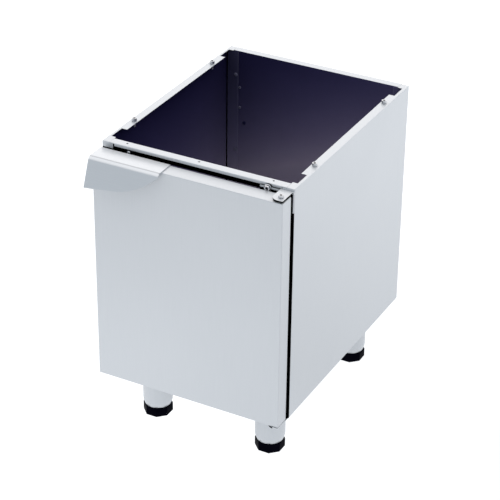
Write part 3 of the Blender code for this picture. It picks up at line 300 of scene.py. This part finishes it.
PLATE_GAP_SHADE = {**EVERYWHERE, "Low": DOOR_HIGH.z - GAP_SHADE_WIDTH}
RETURN_SEAM_SHADE = {
    **EVERYWHERE,
    "Half Width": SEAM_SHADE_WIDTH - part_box("left_side_panel")[1].x,
    "Rear": BODY_LOW.y + HALF_SHEET,
}
# Inner faces and the corner plates carry the inside's painted shade; the door's gap edges, the left return's
# seam and the rail's hollow are painted black shade.
for panel, inner, blackened in (
    ("left_side_panel", [SIDE_INSIDE], [SIDE_GAP_SHADE, TOP_GAP_SHADE, RETURN_SEAM_SHADE]),
    ("right_side_panel", [SIDE_INSIDE], [SIDE_GAP_SHADE, TOP_GAP_SHADE]),
    ("back_panel", [BACK_INSIDE], []),
    ("floor_panel", [FLOOR_INSIDE], []),
    ("front_top_rail", [RAIL_INSIDE], [RAIL_HOLLOW_SHADE]),
    ("upper_hinge_corner_plate", [EVERYWHERE], [PLATE_GAP_SHADE]),
    ("lower_hinge_corner_plate", [EVERYWHERE], []),
    ("catch_corner_plate", [EVERYWHERE], [PLATE_GAP_SHADE]),
):
    finish_node(panel, steel_sheet(panel + "_satin", inside=inner, black=blackened))

# On the corner posts, the strip along the wall is painted black shade, and the face, its free edge most, is
# painted paler as painted light.
POST_CORNER_SHADE_FROM, POST_CORNER_SHADE_TO = 0.0072, 0.0014
POST_EDGE_WIDTH = 0.0012
POST_PAINTED_LIGHT = (0.40, 0.40, 0.52, 1.0)
POST_FACE_SHARE, POST_EDGE_SHARE = 0.045, 0.10
POST_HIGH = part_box("rear_left_corner_post")[1]
POST_CORNER_SHADE = {**EVERYWHERE, "Front": POST_HIGH.y - POST_CORNER_SHADE_FROM, "Rear": POST_HIGH.y - POST_CORNER_SHADE_TO}
POST_FACE = {**EVERYWHERE, "Front": POST_HIGH.y - POST_CORNER_SHADE_TO}
POST_EDGE = {**POST_FACE, "Half Width": POST_EDGE_WIDTH - POST_HIGH.x}
POST_PAINTED_LIGHT_MARKS = [(POST_FACE, POST_PAINTED_LIGHT, POST_FACE_SHARE), (POST_EDGE, POST_PAINTED_LIGHT, POST_EDGE_SHARE)]
for post in ("rear_left_corner_post", "rear_right_corner_post"):
    post_satin = steel_sheet(post + "_satin", inside=[EVERYWHERE], black=[POST_CORNER_SHADE], marks=POST_PAINTED_LIGHT_MARKS)
    finish_node(post, post_satin)

# Rivets, screws and bolts: plated steel, turned and pressed, with a hexagon recess or a hexagon head.
# Rivets hold the corner posts to the back, and socket screws in the top flanges hold what is set on top.
# Flange bolts hold the hinge brackets to the corner plates behind the front.
PLATED_DULL = (0.40, 0.41, 0.43, 1.0)
PLATED_BRIGHT = (0.62, 0.63, 0.65, 1.0)
CHROME_DULL = (0.62, 0.62, 0.64, 1.0)
CHROME_BRIGHT = (0.80, 0.80, 0.82, 1.0)
# The dark blue colours below are painted shade for the rivets and screws inside the cabinet.
SHADED_FASTENER_DARK = (0.080, 0.078, 0.130, 1.0)
SHADED_FASTENER_LIGHT = (0.150, 0.145, 0.220, 1.0)
# Near-black painted shade for sockets and for the corners under heads and flanges:
RECESS_SHADE_COLOUR = (0.010, 0.010, 0.014, 1.0)
TARNISH_SCALE, TARNISH_DETAIL, TARNISH_COARSENESS = 260.0, 5.0, 0.65
TARNISH_ROUGHER = 0.16
TARNISH_BUMP = 0.05
SHARP_FROM = math.radians(35)
ROUND = 0
HEX = 6
UPWARD = (0, 0, 1)
DOWNWARD = (0, 0, -1)
FORWARD = (0, -1, 0)


def turned(rows, centre, axis, twist=0.0, sides=48, ring=False, shaded_rows=()):
    """A turned shape, as points, faces and a share of painted shade for each point. Row (radius, along,
    corners) stands that far along the axis.
    Round it, at angle t, the reach is radius; with n corners it is
    radius * cos(pi / n) / cos(((t - twist) mod (2 pi / n)) - pi / n).
    Rows run up the outside; a ring's last row meets its first, and other shapes get flat ends.
    The rows that the last argument counts out lie in a recess or a corner, and take painted shade."""
    radius, along, corners = np.array(rows, float).T[..., None]
    turn = 2 * np.pi * np.arange(sides) / sides
    share = np.pi / np.maximum(corners, 3)
    flats = radius * np.cos(share) / np.cos(np.mod(turn, 2 * share) - share)
    reach = np.where(corners > 2, flats, radius)[..., None]
    up = np.array(axis, float)
    side = np.array([up[1], up[2], up[0]])
    other = np.cross(up, side)
    angle = (turn + twist)[None, :, None]
    spokes = np.cos(angle) * side + np.sin(angle) * other
    points = np.array(centre, float) + reach * spokes + along[..., None] * up
    count = len(rows)
    last = count if ring else count - 1
    i, j = np.meshgrid(np.arange(last), np.arange(sides), indexing="ij")
    k, m = (i + 1) % count, (j + 1) % sides
    corners_of = [i * sides + j, i * sides + m, k * sides + m, k * sides + j]
    faces = np.stack(corners_of, axis=-1).reshape(-1, 4).tolist()
    if not ring:
        faces.append(list(range(sides))[::-1])
        faces.append([(count - 1) * sides + n for n in range(sides)])
    recess_shade = np.repeat(np.isin(np.arange(count), shaded_rows), sides).astype(float)
    return points.reshape(-1, 3), faces, recess_shade


def add_piece(name, shapes, material, body, stands_for=()):
    """One mesh from several shapes, smooth but for its sharp edges, riding on a body."""
    points, faces, recess_shade, start = [], [], [], 0
    for shape_points, shape_faces, shape_recess_shade in shapes:
        points.append(shape_points)
        faces += [[start + n for n in face] for face in shape_faces]
        recess_shade.append(shape_recess_shade)
        start += len(shape_points)
    mesh = bpy.data.meshes.new(name)
    mesh.from_pydata(np.concatenate(points), [], faces)
    mesh.attributes.new("recess_shade", "FLOAT", "POINT").data.foreach_set("value", np.concatenate(recess_shade))
    mesh.shade_smooth()
    mesh.set_sharp_from_angle(angle=SHARP_FROM)
    mesh.materials.append(material)
    piece = bpy.data.objects.new(name, mesh)
    bpy.context.scene.collection.objects.link(piece)
    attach(piece, body)
    if stands_for:
        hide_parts(*stands_for)
    return piece


def make_tarnish():
    """Small blotches where plating has dulled, with finer specks in them."""
    group, given, made = new_group("tarnish", {"Vector": "Vector", "Scale": "Float"}, {"Dull": "Float"})
    feeds = {"Vector": given["Vector"], "Scale": given["Scale"]}
    feeds.update({"Detail": TARNISH_DETAIL, "Roughness": TARNISH_COARSENESS})
    blotch = put(group, "ShaderNodeTexNoise", feeds)
    group.links.new(blotch.outputs["Fac"], made["Dull"])
    return group


TARNISH = make_tarnish()


def plated_steel(name, dull=PLATED_DULL, bright=PLATED_BRIGHT, smoothest=0.22, metallic=1.0):
    """Plating with dulled blotches; a piece's point attribute marks where painted shade darkens its recesses
    and corners.
    """
    material, tree, shader, coords = new_material(name)
    blotch_feeds = {"Vector": coords, "Scale": TARNISH_SCALE}
    blotch = put(tree, "ShaderNodeGroup", blotch_feeds, node_tree=TARNISH).outputs["Dull"]
    plating = mixed(tree, ranged(tree, blotch, 0.0, 1.0), bright, dull)
    recess_shade = put(tree, "ShaderNodeAttribute", attribute_name="recess_shade").outputs["Fac"]
    # The recess attribute mixes in the painted shade.
    tree.links.new(mixed(tree, recess_shade, plating, RECESS_SHADE_COLOUR), shader["Base Color"])
    tree.links.new(ranged(tree, blotch, smoothest, smoothest + TARNISH_ROUGHER), shader["Roughness"])
    shader["Metallic"].default_value = metallic
    add_bump(tree, shader, TARNISH_BUMP, blotch)
    return material


PLATED = plated_steel("plated_fastener")
CHROMED = plated_steel("bright_bolt", CHROME_DULL, CHROME_BRIGHT, smoothest=0.08)
# Fasteners inside the cabinet get dark blue painted shade, without metal shine.
SHADED_FASTENER = plated_steel("shaded_fastener", SHADED_FASTENER_DARK, SHADED_FASTENER_LIGHT, smoothest=0.45, metallic=0.0)


def node_middle(node):
    """The middle of a CAD node's box."""
    low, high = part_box(node)
    return (low + high) / 2


def add_rivet(node):
    """A blind rivet, turned: a set tail behind, and a low dome in front with the snapped mandrel in it."""
    low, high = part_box(node)
    middle = node_middle(node)
    head, shank, tail = (high.x - low.x) / 2, 0.0020, 0.0030
    dome, tail_height, tail_easing = 0.0016, 0.0015, 0.0004
    length = high.y - low.y
    rows = [
        (tail * 0.8, 0.0, ROUND),
        (tail, tail_easing, ROUND),
        (tail, tail_height, ROUND),
        (shank, tail_height, ROUND),
        (shank, length - dome, ROUND),
        (head, length - dome, ROUND),
        (head * 0.96, length - dome * 0.6, ROUND),
        (head * 0.78, length - dome * 0.25, ROUND),
        (head * 0.5, length - dome * 0.05, ROUND),
        (head * 0.32, length - dome * 0.02, ROUND),
        (head * 0.28, length - dome * 0.5, ROUND),
    ]
    shape = turned(rows, (middle.x, high.y, middle.z), FORWARD)
    add_piece(node + "_head", [shape], SHADED_FASTENER, "carcass", [node])


for side in ("left", "right"):
    for level in ("upper", "middle", "lower"):
        add_rivet(f"{side}_post_rivet_{level}")


def add_socket_screw(node, axis, head_height, shank, socket):
    """A socket screw, turned on an axis that points out of its head, which has a hexagon recess."""
    low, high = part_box(node)
    middle = node_middle(node)
    length = high.z - low.z
    head = (high.x - low.x) / 2
    seat = length - head_height
    chamfer = 0.0005
    rows = [
        (shank - chamfer, 0.0, ROUND),
        (shank, chamfer, ROUND),
        (shank, seat, ROUND),
        (head - chamfer / 2, seat, ROUND),
        (head, seat + chamfer / 2, ROUND),
        (head, length - chamfer, ROUND),
        (head - chamfer * 0.3, length - chamfer * 0.3, ROUND),
        (head - chamfer, length, ROUND),
        (socket * 1.12, length, ROUND),
        (socket, length - chamfer * 0.6, HEX),
        (socket, length - head_height * 0.5, HEX),
        (socket * 0.2, length - head_height * 0.58, ROUND),
    ]
    start = low.z if axis == UPWARD else high.z
    shape = turned(rows, (middle.x, middle.y, start), axis, shaded_rows=(10, 11))
    add_piece(node + "_turned", [shape], PLATED, "carcass", [node])


for end in ("front", "rear"):
    for side in ("left", "right"):
        top_screw = f"top_screw_{end}_{side}"
        add_socket_screw(top_screw, UPWARD, head_height=0.006, shank=0.0030, socket=0.0027)
for level, axis in (("upper", UPWARD), ("lower", DOWNWARD)):
    add_socket_screw(f"{level}_pivot_screw", axis, head_height=0.005, shank=0.0040, socket=0.0027)


def add_pan_screw(node, head_height, shank, material):
    """A small pan-head screw, turned, with a hexagon recess and driven towards the back."""
    low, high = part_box(node)
    middle = node_middle(node)
    head = (high.x - low.x) / 2
    length = high.y - low.y
    seat = length - head_height
    recess = head * 0.42
    rows = [
        (shank * 0.3, 0.0, ROUND),
        (shank, shank * 0.7, ROUND),
        (shank, seat, ROUND),
        (head, seat, ROUND),
        (head, length - head_height * 0.6, ROUND),
        (head * 0.9, length - head_height * 0.18, ROUND),
        (head * 0.7, length, ROUND),
        (recess * 1.1, length, ROUND),
        (recess, length - head_height * 0.15, HEX),
        (recess, length - head_height * 0.6, HEX),
    ]
    shape = turned(rows, (middle.x, high.y, middle.z), FORWARD, shaded_rows=(9,))
    add_piece(node + "_turned", [shape], material, "carcass", [node])


for level in ("upper", "lower"):
    add_pan_screw(f"back_panel_screw_{level}", head_height=0.0020, shank=0.0020, material=SHADED_FASTENER)
    add_pan_screw(f"catch_screw_{level}", head_height=0.0025, shank=0.00175, material=PLATED)


def add_flange_bolt(node):
    """A hexagon bolt, turned, with a washer-like flange pressed on its head and a dished end."""
    low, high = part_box(node)
    middle = node_middle(node)
    flange = (high.x - low.x) / 2
    length = high.y - low.y
    head_height, flange_edge, shank, across_flats = 0.0045, 0.0008, 0.0030, 0.0100
    chamfer, flange_easing, hex_from, hex_chamfer, dish = 0.0005, 0.0002, 0.0014, 0.0007, 0.0004
    seat = length - head_height
    corner = across_flats / 2 / math.cos(math.pi / HEX)
    rows = [
        (shank - chamfer, 0.0, ROUND),
        (shank, chamfer, ROUND),
        (shank, seat, ROUND),
        (flange, seat, ROUND),
        (flange, seat + flange_edge * 0.7, ROUND),
        (flange - flange_easing, seat + flange_edge, ROUND),
        (corner, seat + hex_from, HEX),
        (corner, length - hex_chamfer, HEX),
        (corner * 0.86, length, ROUND),
        (corner * 0.55, length, ROUND),
        (corner * 0.50, length - dish, ROUND),
    ]
    shape = turned(rows, (middle.x, high.y, middle.z), FORWARD, shaded_rows=(3, 6, 10))
    add_piece(node + "_turned", [shape], CHROMED, "carcass", [node])


for level in ("upper", "lower"):
    for place in ("inner", "outer"):
        add_flange_bolt(f"{level}_hinge_bolt_{place}")

# Hinge brackets: thick stainless plate, an ear over or under the door and a leg bolted to the body's front.
# The upper one's ear, but for its top face, and its leg's cut edges are painted black shade. Painted black
# shade from the door's gaps runs over both legs, and a spot of painted shadow sits at the lower ear's corner.
# The pivot bearings in the door's corners are turned and milled from natural nylon.
CROSS_GRAIN = (14.0, 700.0, 700.0)
NYLON_LIGHT = (0.72, 0.72, 0.67, 1.0)
NYLON_DARK = (0.60, 0.60, 0.54, 1.0)
MOULDING_SHADE_SCALE = 40.0
MOULDING_DRIFT = 0.06
PEBBLE_BUMP = 0.12
BRACKET_PLATE = 0.003
EAR_ABOVE_DOOR = 0.003
EAR_WIDTH = 0.025
EAR_CORNER = 0.014
EDGE_ONLY = 0.0001
EDGE_FACING = 0.5
EAR_LEFT = DOOR_HIGH.x - EAR_WIDTH
LEG_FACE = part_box("upper_hinge_bracket")[1].y - BRACKET_PLATE
# The limits below paint black shade on the brackets: in the door's gaps, on the upper ear's underside and cut
# edges, and as a shadow spot at the lower ear's corner.
UPPER_EAR_SHADE = {
    **EVERYWHERE,
    "Rear": LEG_FACE - HALF_SHEET,
    "Low": DOOR_HIGH.z,
    "Top": DOOR_HIGH.z + EAR_ABOVE_DOOR + BRACKET_PLATE - EDGE_ONLY,
}
LEG_EDGE_SHADE = {**EVERYWHERE, "Half Width": EAR_LEFT, "Facing": EDGE_FACING}
LEG_FRONT = {
    **EVERYWHERE,
    "Half Width": BODY_HIGH.x - 2 * SHEET,
    "Rear": LEG_FACE + HALF_SHEET,
    "Top": DOOR_HIGH.z + 2 * SHEET,
}
LEG_SIDE_GAP_SHADE = {**LEG_FRONT, "Inner": GAP_SHADE_FROM}
LEG_TOP_GAP_SHADE = {**LEG_FRONT, "Low": DOOR_HIGH.z - GAP_SHADE_WIDTH}
LOWER_GAP_SHADE = {
    **EVERYWHERE,
    "Inner": GAP_SHADE_FROM,
    "Front": DOOR_HIGH.y - SHEET,
    "Low": DOOR_LOW.z - SHEET,
}
LOWER_CORNER_SHADOW = {
    **EVERYWHERE,
    "Half Width": EAR_LEFT + EAR_CORNER,
    "Rear": DOOR_LOW.y + EAR_CORNER,
    "Top": DOOR_LOW.z - HALF_SHEET,
}
for bracket, blackened in (
    ("upper_hinge_bracket", [UPPER_EAR_SHADE, LEG_EDGE_SHADE, LEG_SIDE_GAP_SHADE, LEG_TOP_GAP_SHADE]),
    ("lower_hinge_bracket", [LOWER_GAP_SHADE, LOWER_CORNER_SHADOW]),
):
    finish_node(bracket, steel_sheet(bracket + "_satin", CROSS_GRAIN, black=blackened))


def make_moulding():
    """The fine pebble of a moulded surface, with slow shade changes."""
    group, given, made = new_group(
        "moulding", {"Vector": "Vector", "Pebble": "Float"}, {"Pebble": "Float", "Shade": "Float"}
    )
    pebble_feeds = {"Vector": given["Vector"], "Scale": given["Pebble"], "Randomness": 1.0}
    pebble = put(group, "ShaderNodeTexVoronoi", pebble_feeds)
    shade_feeds = {"Vector": given["Vector"], "Scale": MOULDING_SHADE_SCALE, "Detail": CLOUD_DETAIL}
    shade = put(group, "ShaderNodeTexNoise", shade_feeds)
    group.links.new(pebble.outputs["Distance"], made["Pebble"])
    group.links.new(shade.outputs["Fac"], made["Shade"])
    return group


MOULDING = make_moulding()


def moulded_plastic(name, dark, light, roughness, pebble, gloss=0.5):
    """A moulded surface between two shades. pebble is the fineness of its texture, and gloss its shine."""
    material, tree, shader, coords = new_material(name)
    shader["Specular IOR Level"].default_value = gloss
    surface = put(tree, "ShaderNodeGroup", {"Vector": coords, "Pebble": pebble}, node_tree=MOULDING).outputs
    shade = surface["Shade"]
    smoothest, roughest = roughness - MOULDING_DRIFT, roughness + MOULDING_DRIFT
    tree.links.new(mixed(tree, ranged(tree, shade, 0.0, 1.0), dark, light), shader["Base Color"])
    tree.links.new(ranged(tree, shade, smoothest, roughest), shader["Roughness"])
    add_bump(tree, shader, PEBBLE_BUMP, surface["Pebble"])
    return material


for level in ("upper", "lower"):
    node = f"{level}_pivot_bearing"
    nylon = moulded_plastic(node + "_nylon", NYLON_DARK, NYLON_LIGHT, roughness=0.5, pebble=1200.0)
    finish_node(node, nylon)

# Magnetic catch: a black moulded housing screwed to its corner plate, with a ferrite bar in its face.
# The strike on the door is a small plated plate, held by one rivet.
# A black plug is pressed into a spare hole in the back.
BLACK = (0.0006, 0.0006, 0.003, 1.0)
BLACK_WORN = (0.002, 0.002, 0.005, 1.0)
PLUG_DARK = (0.014, 0.014, 0.050, 1.0)
PLUG_LIGHT = (0.022, 0.021, 0.068, 1.0)
FERRITE_DARK = (0.030, 0.030, 0.031, 1.0)
FERRITE_LIGHT = (0.060, 0.060, 0.062, 1.0)
for node, dark, light in (
    ("catch_housing", BLACK, BLACK_WORN),
    ("back_panel_plug", PLUG_DARK, PLUG_LIGHT),
):
    plastic = moulded_plastic(node + "_black", dark, light, roughness=0.45, pebble=1500.0, gloss=0.03)
    finish_node(node, plastic)
ferrite = moulded_plastic("catch_magnet_ferrite", FERRITE_DARK, FERRITE_LIGHT, roughness=0.6, pebble=2500.0)
finish_node("catch_magnet", ferrite)
for node in ("strike_plate", "strike_rivet", "handle_nut_left", "handle_nut_right"):
    finish_node(node, plated_steel(node + "_plated"))

# Door: an outer pan of satin stainless sheet, closed at the back by an inner pan of the same.
# The two are spot welded along their flanges.
for skin in ("door_outer_skin", "door_inner_skin"):
    finish_node(skin, steel_sheet(skin + "_satin"))

# Handle: one bent stainless plate on the door's top edge, held by two studs with nuts.
# It slopes over the front and turns down into a lip, whose lower edge sweeps up in a long curve to the right.
# Its top is painted paler as painted light, and the first fold shows as a dark line of painted shade.
PLATE = 0.002
FOLD_REACH = 0.0012
FOLD_ONE_OUT = 0.0065
SLOPE_OUT, SLOPE_DOWN = 0.0062, 0.0050
LIP_LEAN = math.radians(21.0)
LIP_LEFT, LIP_CORNER, LIP_RIGHT = 0.0545, 0.0441, 0.0032
CORNER_FROM_RIGHT = 0.047
CORNER_RADIUS = 0.140
HANDLE_COLUMNS, LIP_ROWS = 120, 24
EDGE_EASING, EDGE_SEGMENTS = 0.0004, 2
EDGE_ANGLE = math.radians(50)
# The next two colours are painted shade along the first fold and painted light on the top.
FOLD_SHADE = (0.430, 0.445, 0.465, 1.0)
TOP_PAINTED_LIGHT = (0.680, 0.700, 0.725, 1.0)
FOLD_SHADE_SHARE, TOP_PAINTED_LIGHT_SHARE = 1.0, 0.4


def lip_length(x, left, right):
    """The lip's length at x: a straight run, an arc that touches both runs, and a second straight run.
    On the arc it is level + sqrt(CORNER_RADIUS ** 2 - (x - centre_x) ** 2)."""
    corner = right - CORNER_FROM_RIGHT
    first = math.atan2(LIP_CORNER - LIP_LEFT, corner - left)
    second = math.atan2(LIP_RIGHT - LIP_CORNER, CORNER_FROM_RIGHT)
    reach = CORNER_RADIUS * math.tan((first - second) / 2)
    arc_from = corner - reach * math.cos(first)
    arc_to = corner + reach * math.cos(second)
    centre_x = arc_from + CORNER_RADIUS * math.sin(first)
    level = LIP_CORNER - reach * math.sin(first) - CORNER_RADIUS * math.cos(first)
    arc = level + np.sqrt(np.maximum(CORNER_RADIUS**2 - (x - centre_x) ** 2, 0.0))
    run_one = LIP_CORNER + (x - corner) * math.tan(first)
    run_two = LIP_CORNER + (x - corner) * math.tan(second)
    return np.where(x < arc_from, run_one, np.where(x > arc_to, run_two, arc))


def fold_path(points, reach, steps=8):
    """A chain of points with each inner corner turned into an arc that starts and ends at reach from it.
    The arc is the quadratic curve (1-t)^2 a + 2t(1-t) corner + t^2 b, nearly round for a shallow fold."""
    t = np.linspace(0.0, 1.0, steps + 1)[:, None]
    path = [points[:1]]
    for before, corner, after in zip(points, points[1:], points[2:]):
        a = corner + reach * (before - corner) / np.linalg.norm(before - corner)
        b = corner + reach * (after - corner) / np.linalg.norm(after - corner)
        path.append((1 - t) ** 2 * a + 2 * t * (1 - t) * corner + t**2 * b)
    return np.concatenate(path)


def add_handle():
    """The handle: a section of straight runs and folds, carried across the door from left to right.
    At x, a point a share s down the lip lies at fold_two + (start + s * (lip_length(x) - start)) * fall.
    Solidify gives the surface its thickness on the door's side, and Bevel eases its edges."""
    low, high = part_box("door_handle")
    across = np.linspace(low.x, high.x, HANDLE_COLUMNS)
    fold_one = np.array([DOOR_LOW.y - FOLD_ONE_OUT, high.z])
    fold_two = fold_one - np.array([SLOPE_OUT, SLOPE_DOWN])
    fall = np.array([-math.sin(LIP_LEAN), -math.cos(LIP_LEAN)])
    chain = np.array([[high.y, high.z], fold_one, fold_two, fold_two + LIP_LEFT * fall])
    bent = fold_path(chain, FOLD_REACH)
    length = lip_length(across, low.x, high.x)
    start = np.minimum(FOLD_REACH, length)
    share = np.linspace(0.0, 1.0, LIP_ROWS)[1:, None]
    drop = start + share * (length - start)
    lip = fold_two + drop[..., None] * fall
    fixed = np.broadcast_to(bent[:, None, :], (len(bent), len(across), 2))
    section = np.concatenate([fixed, lip])
    x = np.broadcast_to(across, section.shape[:2])
    points = np.concatenate([x[..., None], section], axis=-1)
    rows, columns = section.shape[:2]
    i, j = np.meshgrid(np.arange(rows - 1), np.arange(columns - 1), indexing="ij")
    corners = [i * columns + j, (i + 1) * columns + j, (i + 1) * columns + j + 1, i * columns + j + 1]
    faces = np.stack(corners, axis=-1).reshape(-1, 4).tolist()
    top = {**EVERYWHERE, "Low": fold_two[1] + FOLD_REACH}
    fold_line = {
        **EVERYWHERE,
        "Front": fold_one[0] - FOLD_REACH,
        "Rear": fold_one[0] + FOLD_REACH,
        "Low": fold_one[1] - PLATE,
    }
    painted_light_and_shade = [(top, TOP_PAINTED_LIGHT, TOP_PAINTED_LIGHT_SHARE), (fold_line, FOLD_SHADE, FOLD_SHADE_SHARE)]
    handle = add_piece(
        "handle_plate",
        [(points.reshape(-1, 3), faces, np.zeros(rows * columns))],
        steel_sheet("handle_satin", CROSS_GRAIN, marks=painted_light_and_shade),
        "door",
        ["door_handle"],
    )
    solid = handle.modifiers.new("plate", "SOLIDIFY")
    solid.thickness = PLATE
    solid.offset = -1.0
    edges = handle.modifiers.new("edges", "BEVEL")
    edges.width = EDGE_EASING
    edges.segments = EDGE_SEGMENTS
    edges.limit_method = "ANGLE"
    edges.angle_limit = EDGE_ANGLE


add_handle()

# Legs: stainless tubes with a rounded-in lower end, each welded to a square plate under the floor.
# In each, a threaded plug takes the screw stem of an eight-sided black foot.
SQUARE = 4
OCTAGON = 8
LEG_RADIUS, LEG_WALL = 0.030, 0.0015
MOUTH_RADIUS, TAPER, TAPER_ROWS = 0.0265, 0.014, 9
LEG_SIDES = 96
PLATE_HALF, PLATE_THICK, PLATE_EASING = 0.040, 0.005, 0.0004
FOOT_RADIUS, FOOT_EDGE = 0.030, 0.0012
SEAT_INSET = 0.002
BLACK_FOOT = moulded_plastic("foot_black", BLACK, BLACK_WORN, roughness=0.30, pebble=900.0, gloss=0.006)
LEG_SATIN = steel_sheet("leg_satin")


def leg_shapes(node):
    """The tube's wall as a closed ring, and the plate on top of it.
    At a share s of the taper's height, the radius is the tube's less (tube - mouth) * (1 - s) ** 2."""
    low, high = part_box(node)
    middle = node_middle(node)
    under = high.z - PLATE_THICK
    share = np.linspace(0.0, 1.0, TAPER_ROWS)
    radius = LEG_RADIUS - (LEG_RADIUS - MOUTH_RADIUS) * (1 - share) ** 2
    height = low.z + TAPER * share
    outer = [(r, z, ROUND) for r, z in zip(radius, height)] + [(LEG_RADIUS, under, ROUND)]
    inner = [(r - LEG_WALL, z, ROUND) for r, z, _ in reversed(outer)]
    centre = (middle.x, middle.y, 0.0)
    tube = turned(outer + inner, centre, UPWARD, sides=LEG_SIDES, ring=True)
    corner = PLATE_HALF * math.sqrt(2)
    plate_rows = [
        (corner - PLATE_EASING, under, SQUARE),
        (corner, under + PLATE_EASING, SQUARE),
        (corner, high.z - PLATE_EASING, SQUARE),
        (corner - PLATE_EASING, high.z, SQUARE),
    ]
    plate = turned(plate_rows, centre, UPWARD, twist=math.pi / SQUARE)
    return [tube, plate]


def foot_shapes(node):
    """An eight-sided block with eased edges, and a round seat for the tube on its top."""
    low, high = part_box(node)
    middle = node_middle(node)
    rows = [
        (FOOT_RADIUS - 2 * FOOT_EDGE, low.z, OCTAGON),
        (FOOT_RADIUS - FOOT_EDGE, low.z + FOOT_EDGE * 0.3, OCTAGON),
        (FOOT_RADIUS, low.z + FOOT_EDGE * 1.5, OCTAGON),
        (FOOT_RADIUS, high.z - FOOT_EDGE * 1.5, OCTAGON),
        (FOOT_RADIUS - FOOT_EDGE * 0.4, high.z - FOOT_EDGE * 0.4, OCTAGON),
        (FOOT_RADIUS - FOOT_EDGE * 1.5, high.z, OCTAGON),
        (MOUTH_RADIUS - SEAT_INSET, high.z, ROUND),
    ]
    centre = (middle.x, middle.y, 0.0)
    return [turned(rows, centre, UPWARD, twist=math.pi / OCTAGON, sides=LEG_SIDES)]


for place in [f"{end}_{side}" for end in ("front", "rear") for side in ("left", "right")]:
    leg, foot = f"leg_{place}", f"foot_{place}"
    add_piece(f"leg_tube_{place}", leg_shapes(leg), LEG_SATIN, "carcass", [leg])
    add_piece(f"foot_pad_{place}", foot_shapes(foot), BLACK_FOOT, foot, [foot])
    finish_node(f"leg_insert_{place}", plated_steel(f"leg_insert_{place}_plated"))
    finish_node(f"foot_stem_{place}", plated_steel(f"foot_stem_{place}_plated"))

# Studio: a wide pale floor lit from below, as a product table is, under a soft sky that is brighter overhead.
# The floor's glow is a little stronger in front of the cabinet and well behind it.
# The camera stands to the right of the front and looks down on the cabinet.
FLOOR_HALF = 12.0
FLOOR_COLOUR = (0.08, 0.08, 0.08, 1.0)
FLOOR_ROUGHNESS, FLOOR_GLOSS = 0.9, 0.1
FLOOR_GLOW = (0.91, 0.925, 0.945, 1.0)
FRONT_GLOW = (1.30, 1.32, 1.342, 1.0)
FRONT_GLOW_PLACE = (-0.3, -0.55, 0.0)
FRONT_GLOW_REACH = 1.0
REAR_GLOW = (1.32, 1.335, 1.355, 1.0)
REAR_GLOW_FROM, REAR_GLOW_TO = 0.1, 1.1
SKY_LOW = (0.50, 0.58, 0.65, 1.0)
SKY_HIGH = (1.69, 1.65, 1.63, 1.0)
SKY_BRIGHTEST = (-0.30, 0.48, 0.82)
SKY_LOW_TO, SKY_HIGH_FROM = -0.1, 0.7
PHOTO_PIXELS = 500
FOCAL_PIXELS = 1840.46
SENSOR_MM = 36.0
CAMERA_AZIMUTH = math.radians(27.655)
CAMERA_ELEVATION = math.radians(29.896)
CAMERA_ROLL = math.radians(0.714)
CAMERA_FROM_TOP_FRONT = Vector((1.4617, -2.5759, 1.5244))


def add_floor():
    """A flat square whose glow rises from FLOOR_GLOW to FRONT_GLOW at one place, and to REAR_GLOW behind."""
    corners = np.array([[-1, -1, 0], [1, -1, 0], [1, 1, 0], [-1, 1, 0]]) * FLOOR_HALF
    mesh = bpy.data.meshes.new("studio_floor")
    mesh.from_pydata(corners, [], [[0, 1, 2, 3]])
    material, tree, shader, coords = new_material("pale_floor")
    away_feeds = {0: coords, 1: FRONT_GLOW_PLACE}
    away = put(tree, "ShaderNodeVectorMath", away_feeds, operation="DISTANCE").outputs["Value"]
    depth = put(tree, "ShaderNodeSeparateXYZ", {0: coords}).outputs[1]
    near = spread(tree, away, FRONT_GLOW_REACH, 0.0)
    behind = spread(tree, depth, REAR_GLOW_FROM, REAR_GLOW_TO)
    glow = mixed(tree, behind, mixed(tree, near, FLOOR_GLOW, FRONT_GLOW), REAR_GLOW)
    tree.links.new(glow, shader["Emission Color"])
    shader["Base Color"].default_value = FLOOR_COLOUR
    shader["Emission Strength"].default_value = 1.0
    shader["Roughness"].default_value = FLOOR_ROUGHNESS
    shader["Specular IOR Level"].default_value = FLOOR_GLOSS
    mesh.materials.append(material)
    floor = bpy.data.objects.new("studio_floor", mesh)
    bpy.context.scene.collection.objects.link(floor)


def add_sky():
    """A soft sky that brightens from SKY_LOW to SKY_HIGH towards its brightest direction."""
    world = bpy.data.worlds.new("soft_sky")
    world.use_nodes = True
    bpy.context.scene.world = world
    tree = world.node_tree
    toward_feeds = {0: put(tree, "ShaderNodeTexCoord").outputs["Generated"], 1: SKY_BRIGHTEST}
    toward = put(tree, "ShaderNodeVectorMath", toward_feeds, operation="DOT_PRODUCT").outputs["Value"]
    rise = spread(tree, toward, SKY_LOW_TO, SKY_HIGH_FROM)
    tree.links.new(mixed(tree, rise, SKY_LOW, SKY_HIGH), tree.nodes["Background"].inputs["Color"])


def add_camera():
    """The photo's camera, placed from the top front edge and turned by its azimuth, elevation and roll."""
    az, el, roll = CAMERA_AZIMUTH, CAMERA_ELEVATION, CAMERA_ROLL
    back = Vector((math.sin(az) * math.cos(el), -math.cos(az) * math.cos(el), math.sin(el)))
    level = Vector((math.cos(az), math.sin(az), 0.0))
    above = back.cross(level)
    right = level * math.cos(roll) + above * math.sin(roll)
    up = back.cross(right)
    lens = bpy.data.cameras.new("photo_camera")
    lens.sensor_width = SENSOR_MM
    lens.lens = FOCAL_PIXELS / PHOTO_PIXELS * SENSOR_MM
    camera = bpy.data.objects.new("photo_camera", lens)
    top_front = Vector((0.0, BODY_LOW.y, BODY_HIGH.z))
    turn = Matrix((right, up, back)).transposed().to_4x4()
    camera.matrix_world = Matrix.Translation(top_front + CAMERA_FROM_TOP_FRONT) @ turn
    bpy.context.scene.collection.objects.link(camera)
    bpy.context.scene.camera = camera


add_floor()
add_sky()
add_camera()
bpy.context.scene.view_settings.view_transform = "Standard"
